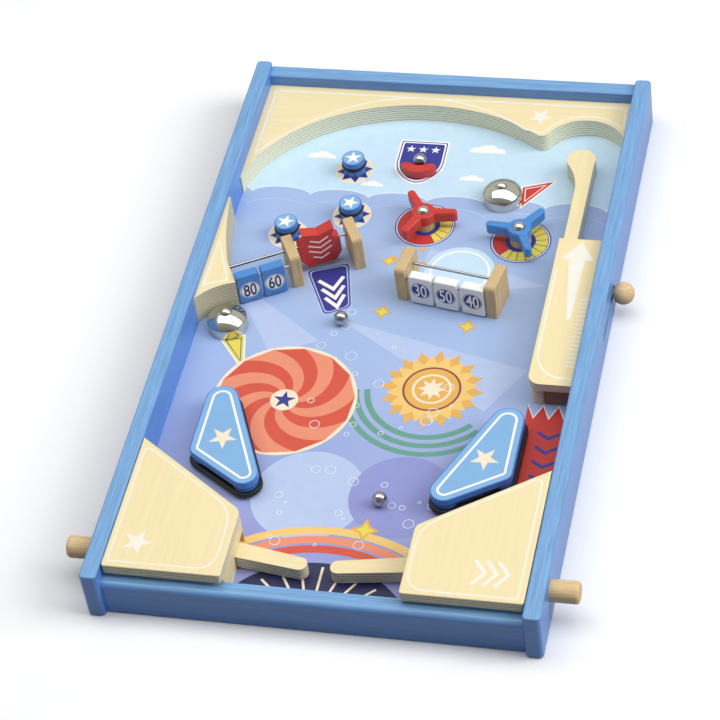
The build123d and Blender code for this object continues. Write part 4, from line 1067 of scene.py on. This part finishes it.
def print_signs(sheet):
    """Signs: a shield behind the catcher, a tapered panel before the flap and two pennants."""
    place = middle("ball_catcher")[:2]
    for outline, rounds, borders in (
        (place + SHIELD, SHIELD_ROUNDS, SHIELD_BORDERS), (PANEL, PANEL_ROUND, PANEL_BORDERS),
    ):
        for grow, ink_name, level in borders:
            sheet.lay(filled(rounded(inset(outline, grow), rounds)), ink_name, level)
    for x, y in place + SHIELD_STARS:
        sheet.lay(filled(star(x, y, SHIELD_STAR_R)), "white", 7)
    upper, lower = np.array(PANEL_MIDLINE)
    for share in PANEL_CHEVRONS:
        mid = upper * (1 - share) + lower * share
        arm = (11.0 - 5.0 * share) * np.array((1.0, 0.35))
        chevron = [mid - arm, mid + PANEL_CHEVRON_TIP, mid + arm]
        sheet.lay(stroke(chevron, PANEL_CHEVRON_WIDE), "white", 7)
    for flag, field, line in PENNANTS:
        sheet.lay(filled(inset(flag, -PENNANT_BORDER)), "white", 3)
        sheet.lay(filled(flag), field, 4)
        edge = inset(flag, PENNANT_LINE_INSET)
        sheet.lay(stroke(edge, PENNANT_LINE_WIDE, closed=True), line, 5)


def print_pinwheel(sheet):
    """Pinwheel: each blade lies between two spirals whose angle grows with the radius."""
    x, y = PINWHEEL
    share = np.linspace(PINWHEEL_EYE, 1.0, 24)
    sheet.lay(filled(circle(x, y, PINWHEEL_R + PINWHEEL_RIM)), "cream", 6)
    for index in range(PINWHEEL_BLADES):
        edges = []
        for step in (index, index + 1):
            angle = 2 * np.pi * step / PINWHEEL_BLADES + PINWHEEL_TWIST * share
            spiral = np.column_stack([np.cos(angle), np.sin(angle)]) * share[:, None]
            edges.append(spiral * PINWHEEL_R + (x, y))
        sheet.lay(band(*edges), ("vermilion", "coral")[index % 2], 7)
    sheet.lay(filled(circle(x, y, PINWHEEL_R * PINWHEEL_HUB)), "cream", 8)
    sheet.lay(filled(star(x, y, PINWHEEL_R * PINWHEEL_STAR)), "navy", 9)


def print_sunburst(sheet):
    """Sunburst: pointed rays round a banded disc, and green ripples beside it."""
    x, y = SUNBURST
    for radius in RIPPLES:
        sheet.lay(ring(x, y, radius, radius + RIPPLE_WIDE, *RIPPLE_ANGLES), "green", 4)
    for share, waist, turn, ink_name, level in SUNBURST_RAYS:
        sheet.lay(filled(star(x, y, SUNBURST_R * share, 16, waist, turn)), ink_name, level)
    for share, ink_name, level in SUNBURST_DISCS:
        sheet.lay(filled(circle(x, y, SUNBURST_R * share)), ink_name, level)
    sheet.lay(filled(star(x, y, SUNBURST_R * SUNBURST_STAR, 8, 0.5)), "cream", 12)


def drain_edge(scale):
    """Upper edge of the drain's ellipse, at a scale."""
    return arc(*DRAIN, DRAIN_HALF[0] * scale, *DRAIN_ANGLES, rise=DRAIN_HALF[1] * scale)


def print_rainbow(sheet):
    """Rainbow round the drain: each band lies between two larger copies of the drain's edge."""
    for ink_name, scale in RAINBOW:
        sheet.lay(band(drain_edge(scale), drain_edge(scale + RAINBOW_WIDE)), ink_name, 4)


def print_small_motifs(sheet):
    """Sparks with four points, a patch of dots, and bubbles."""
    for x, y, radius in SPARKS:
        sheet.lay(filled(star(x, y, radius, 4, 0.45)), "amber", 8)
        sheet.lay(filled(star(x, y, radius * 0.6, 4, 0.5)), "yellow", 9)
    for x, y in DOTS:
        sheet.lay(filled(circle(x, y, DOT_R)), "amber", 8)
    spots = np.random.default_rng(11).uniform(*BUBBLE_AREA, (BUBBLES, 2))
    radii = np.random.default_rng(5).uniform(*BUBBLE_RADII, BUBBLES)
    for (x, y), radius in zip(spots, radii):
        sheet.lay(ring(x, y, radius - BUBBLE_WIDE, radius), "mist", 13)


def print_field(sheet):
    """Middle of the board: beams and discs of haze, then the motifs."""
    for points in BEAMS:
        sheet.lay(filled(points), "haze", 1)
    for x, y, radius, ink_name, level in DISCS:
        sheet.lay(filled(circle(x, y, radius)), ink_name, level)
    x, y, radius = MOON
    sheet.lay(filled(circle(x, y, radius)), "sky", 2)
    sheet.lay(ring(x, y, *np.multiply(radius, MOON_RING)), "white", 3)
    print_rainbow(sheet)
    print_pinwheel(sheet)
    print_sunburst(sheet)
    print_small_motifs(sheet)


def print_lanes(sheet):
    """Outlane at the right in red with a jagged end, and the dark drain before the flippers."""
    low, high = corners("kicker_right")
    left, right = high[0] - OUTLANE_UNDER_KICKER, corners("side_rail_right")[0][0]
    across = np.linspace(left, right, OUTLANE_TEETH)
    teeth = np.resize(OUTLANE_TOOTH, OUTLANE_TEETH)
    edge = np.column_stack([across, high[1] + teeth])
    foot = np.column_stack([across, low[1] - OUTLANE_FOOT + 0 * across])
    sheet.lay(band(edge + (0, OUTLANE_BORDER), edge), "white", 3)
    sheet.lay(band(foot, edge), "red", 4)
    for index in range(OUTLANE_CHEVRONS):
        y = high[1] - OUTLANE_CHEVRON_FIRST - index * OUTLANE_CHEVRON_STEP
        chevron = np.add(OUTLANE_CHEVRON, ((high[0] + right) / 2, y))
        sheet.lay(stroke(chevron, OUTLANE_CHEVRON_WIDE), "navy", 5)
    drain = drain_edge(1.0)
    base = np.column_stack([drain[:, 0], DRAIN_FRONT + 0 * drain[:, 0]])
    sheet.lay(band(base, drain), "midnight", 4)
    for angle in np.radians(DRAIN_RAYS):
        ray = np.outer(DRAIN_RAY, (np.cos(angle) * DRAIN_RAY_SPREAD, np.sin(angle))) + DRAIN
        sheet.lay(stroke(ray, DRAIN_RAY_WIDE), "cream", 5)


def dress_board():
    """Printed board: the ground colours, then sky, field, dials, signs and lanes."""
    finish(printed_board("printed_board"), "playfield_board")
    for name, layers in (
        ("board_print_sky", (print_sky, print_bumper_discs, print_dials)),
        ("board_print_field", (print_field,)),
        ("board_print_signs", (print_signs, print_lanes)),
    ):
        sheet = on_top(name, "playfield_board")
        for layer in layers:
            layer(sheet)
        sheet.done("printed_board")


def build_stage():
    """Pale floor, soft light and the photograph's camera."""
    scene = bpy.context.scene
    scene.view_settings.view_transform = "Standard"
    mesh = bpy.data.meshes.new("floor")
    plan = np.array([(-1, -1), (1, -1), (1, 1), (-1, 1)]) * FLOOR_REACH
    level = np.full((4, 1), -FLOOR_DROP)
    mesh.from_pydata(np.hstack([plan, level]).tolist(), [], [(0, 1, 2, 3)])
    mesh.materials.append(floor_material())
    floor = bpy.data.objects.new("floor", mesh)
    scene.collection.objects.link(floor)
    light_world(scene)
    light_softbox(scene)
    camera = bpy.data.cameras.new("camera")
    camera.sensor_width = CAMERA_SENSOR
    camera.lens = CAMERA_LENS
    camera.clip_end = CAMERA_FAR
    holder = bpy.data.objects.new("camera", camera)
    right, up = np.array(CAMERA_RIGHT), np.array(CAMERA_UP)
    axes = np.column_stack([right, up, np.cross(right, up), np.array(CAMERA_PLACE) * MM])
    holder.matrix_world = Matrix(np.vstack([axes, (0, 0, 0, 1)]).tolist())
    scene.collection.objects.link(holder)
    scene.camera = holder


def light_softbox(scene):
    """Wide softbox overhead, and a soft light from the right that isn't mirrored."""
    overhead = bpy.data.lights.new("softbox", "AREA")
    overhead.shape = "RECTANGLE"
    overhead.size, overhead.size_y = SOFTBOX_WIDE, SOFTBOX_DEEP
    overhead.energy = SOFTBOX_POWER
    side = bpy.data.lights.new("side_light", "SUN")
    side.energy, side.angle = SIDE_STRENGTH, SIDE_SPREAD
    lamps = ((overhead, SOFTBOX_PLACE, SOFTBOX_TURN), (side, (0, 0, 0), SIDE_TURN))
    for lamp, place, turn in lamps:
        holder = bpy.data.objects.new(lamp.name, lamp)
        holder.location = place
        holder.rotation_euler = turn
        holder.visible_glossy = lamp == overhead
        scene.collection.objects.link(holder)


def floor_material():
    """White paper floor: it takes the shadow, and throws less light back than it shows."""
    material, tree, shader = new_material("white_paper")
    path = add(tree, "LightPath")
    seen = path.outputs["Is Camera Ray"]
    for kind in ("Is Glossy Ray", "Is Transmission Ray"):
        seen = add(tree, "Math", {0: seen, 1: path.outputs[kind]}, operation="MAXIMUM").outputs[0]
    mixed = add(
        tree, "Mix", {0: seen, 6: linear("7C7C7C"), 7: linear("FFFFFF")}, data_type="RGBA"
    )
    fill(tree, shader, {
        "Base Color": mixed.outputs[2], "Roughness": 0.9, "Specular IOR Level": 0.0,
    })
    return material


def light_world(scene):
    """White surroundings where they are seen, dimmer in metal and dark in front, and soft as light."""
    world = bpy.data.worlds.new("studio")
    scene.world = world
    world.use_nodes = True
    tree = world.node_tree
    tree.nodes.clear()
    path = add(tree, "LightPath")
    place = add(tree, "TexCoord").outputs["Generated"]
    depth = add(tree, "SeparateXYZ", {0: place}).outputs["Y"]
    room = add(tree, "MapRange", {"Value": depth, 1: -0.85, 2: 0.10, 3: 0.15, 4: 0.60})
    soft = add(tree, "Background", {"Color": linear("F8FAFF"), "Strength": WORLD_STRENGTH})
    mirrored = add(tree, "Background", {"Color": linear("FFFFFF"), "Strength": room.outputs[0]})
    white = add(tree, "Background", {"Color": linear("FFFFFF"), "Strength": 1.0})
    glossy, through = path.outputs["Is Glossy Ray"], path.outputs["Is Transmission Ray"]
    bent = add(tree, "Math", {0: glossy, 1: through}, operation="MAXIMUM").outputs[0]
    both = add(tree, "MixShader", {0: bent, 1: soft.outputs[0], 2: mirrored.outputs[0]})
    seen = path.outputs["Is Camera Ray"]
    shown = add(tree, "MixShader", {0: seen, 1: both.outputs[0], 2: white.outputs[0]})
    add(tree, "OutputWorld", {"Surface": shown.outputs[0]})


class PINBALL_OT_case(bpy.types.Operator):
    """Paint the rails of the case"""

    bl_idname = "pinball.case"
    bl_label = "Case"

    def execute(self, context):
        dress_case()
        return {"FINISHED"}


class PINBALL_OT_board(bpy.types.Operator):
    """Print the board"""

    bl_idname = "pinball.board"
    bl_label = "Board"

    def execute(self, context):
        dress_board()
        return {"FINISHED"}


class PINBALL_OT_plywood(bpy.types.Operator):
    """Finish the plywood guides, covers and flippers"""

    bl_idname = "pinball.plywood"
    bl_label = "Plywood"

    def execute(self, context):
        dress_plywood()
        return {"FINISHED"}


class PINBALL_OT_guides(bpy.types.Operator):
    """Print the arch, the wedge, the launcher cover and the corner covers"""

    bl_idname = "pinball.guides"
    bl_label = "Printed guides"

    def execute(self, context):
        dress_arch()
        dress_wedge()
        dress_launcher()
        dress_covers()
        return {"FINISHED"}


class PINBALL_OT_kickers(bpy.types.Operator):
    """Paint and print the kickers"""

    bl_idname = "pinball.kickers"
    bl_label = "Kickers"

    def execute(self, context):
        dress_kickers()
        return {"FINISHED"}


class PINBALL_OT_bumpers(bpy.types.Operator):
    """Paint and print the bumpers"""

    bl_idname = "pinball.bumpers"
    bl_label = "Bumpers"

    def execute(self, context):
        dress_bumpers()
        return {"FINISHED"}


class PINBALL_OT_spinners(bpy.types.Operator):
    """Paint the spinners, the flap and the catcher"""

    bl_idname = "pinball.spinners"
    bl_label = "Spinners, flap and catcher"

    def execute(self, context):
        dress_red_pieces()
        dress_flap()
        return {"FINISHED"}


class PINBALL_OT_tiles(bpy.types.Operator):
    """Paint the score tiles and print their numbers"""

    bl_idname = "pinball.tiles"
    bl_label = "Score tiles"

    def execute(self, context):
        dress_tiles()
        return {"FINISHED"}


class PINBALL_OT_beech(bpy.types.Operator):
    """Finish the beech posts, pegs and knob"""

    bl_idname = "pinball.beech"
    bl_label = "Beech"

    def execute(self, context):
        dress_beech()
        return {"FINISHED"}


class PINBALL_OT_metal(bpy.types.Operator):
    """Finish the bells, screws, balls and wire"""

    bl_idname = "pinball.metal"
    bl_label = "Metal"

    def execute(self, context):
        dress_metal()
        return {"FINISHED"}


class PINBALL_OT_rubber(bpy.types.Operator):
    """Finish the rubber rings and bands"""

    bl_idname = "pinball.rubber"
    bl_label = "Rubber"

    def execute(self, context):
        dress_rubber()
        return {"FINISHED"}


class PINBALL_OT_stage(bpy.types.Operator):
    """Set up the floor, the light and the camera"""

    bl_idname = "pinball.stage"
    bl_label = "Stage"

    def execute(self, context):
        build_stage()
        return {"FINISHED"}


OPERATORS = (
    PINBALL_OT_case, PINBALL_OT_board, PINBALL_OT_plywood, PINBALL_OT_guides, PINBALL_OT_kickers,
    PINBALL_OT_bumpers, PINBALL_OT_spinners, PINBALL_OT_tiles, PINBALL_OT_beech, PINBALL_OT_metal,
    PINBALL_OT_rubber, PINBALL_OT_stage,
)


class PINBALL_PT_panel(bpy.types.Panel):
    """Sidebar list of the game's pieces"""

    bl_idname = "PINBALL_PT_panel"
    bl_label = "Pinball game"
    bl_space_type = "VIEW_3D"
    bl_region_type = "UI"
    bl_category = "Pinball"

    def draw(self, context):
        for operator in OPERATORS:
            self.layout.operator(operator.bl_idname)


CLASSES = (PinballColours, PinballSizes, *OPERATORS, PINBALL_PT_panel)


def register():
    """Register the classes and hang the settings on the scene."""
    for item in CLASSES:
        bpy.utils.register_class(item)
    bpy.types.Scene.pinball_colours = bpy.props.PointerProperty(type=PinballColours)
    bpy.types.Scene.pinball_sizes = bpy.props.PointerProperty(type=PinballSizes)


def unregister():
    """Take the settings and the classes away."""
    del bpy.types.Scene.pinball_sizes
    del bpy.types.Scene.pinball_colours
    for item in reversed(CLASSES):
        bpy.utils.unregister_class(item)


def main():
    """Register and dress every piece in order."""
    register()
    for operator in OPERATORS:
        group, name = operator.bl_idname.split(".")
        getattr(getattr(bpy.ops, group), name)()


if __name__ == "__main__":
    main()
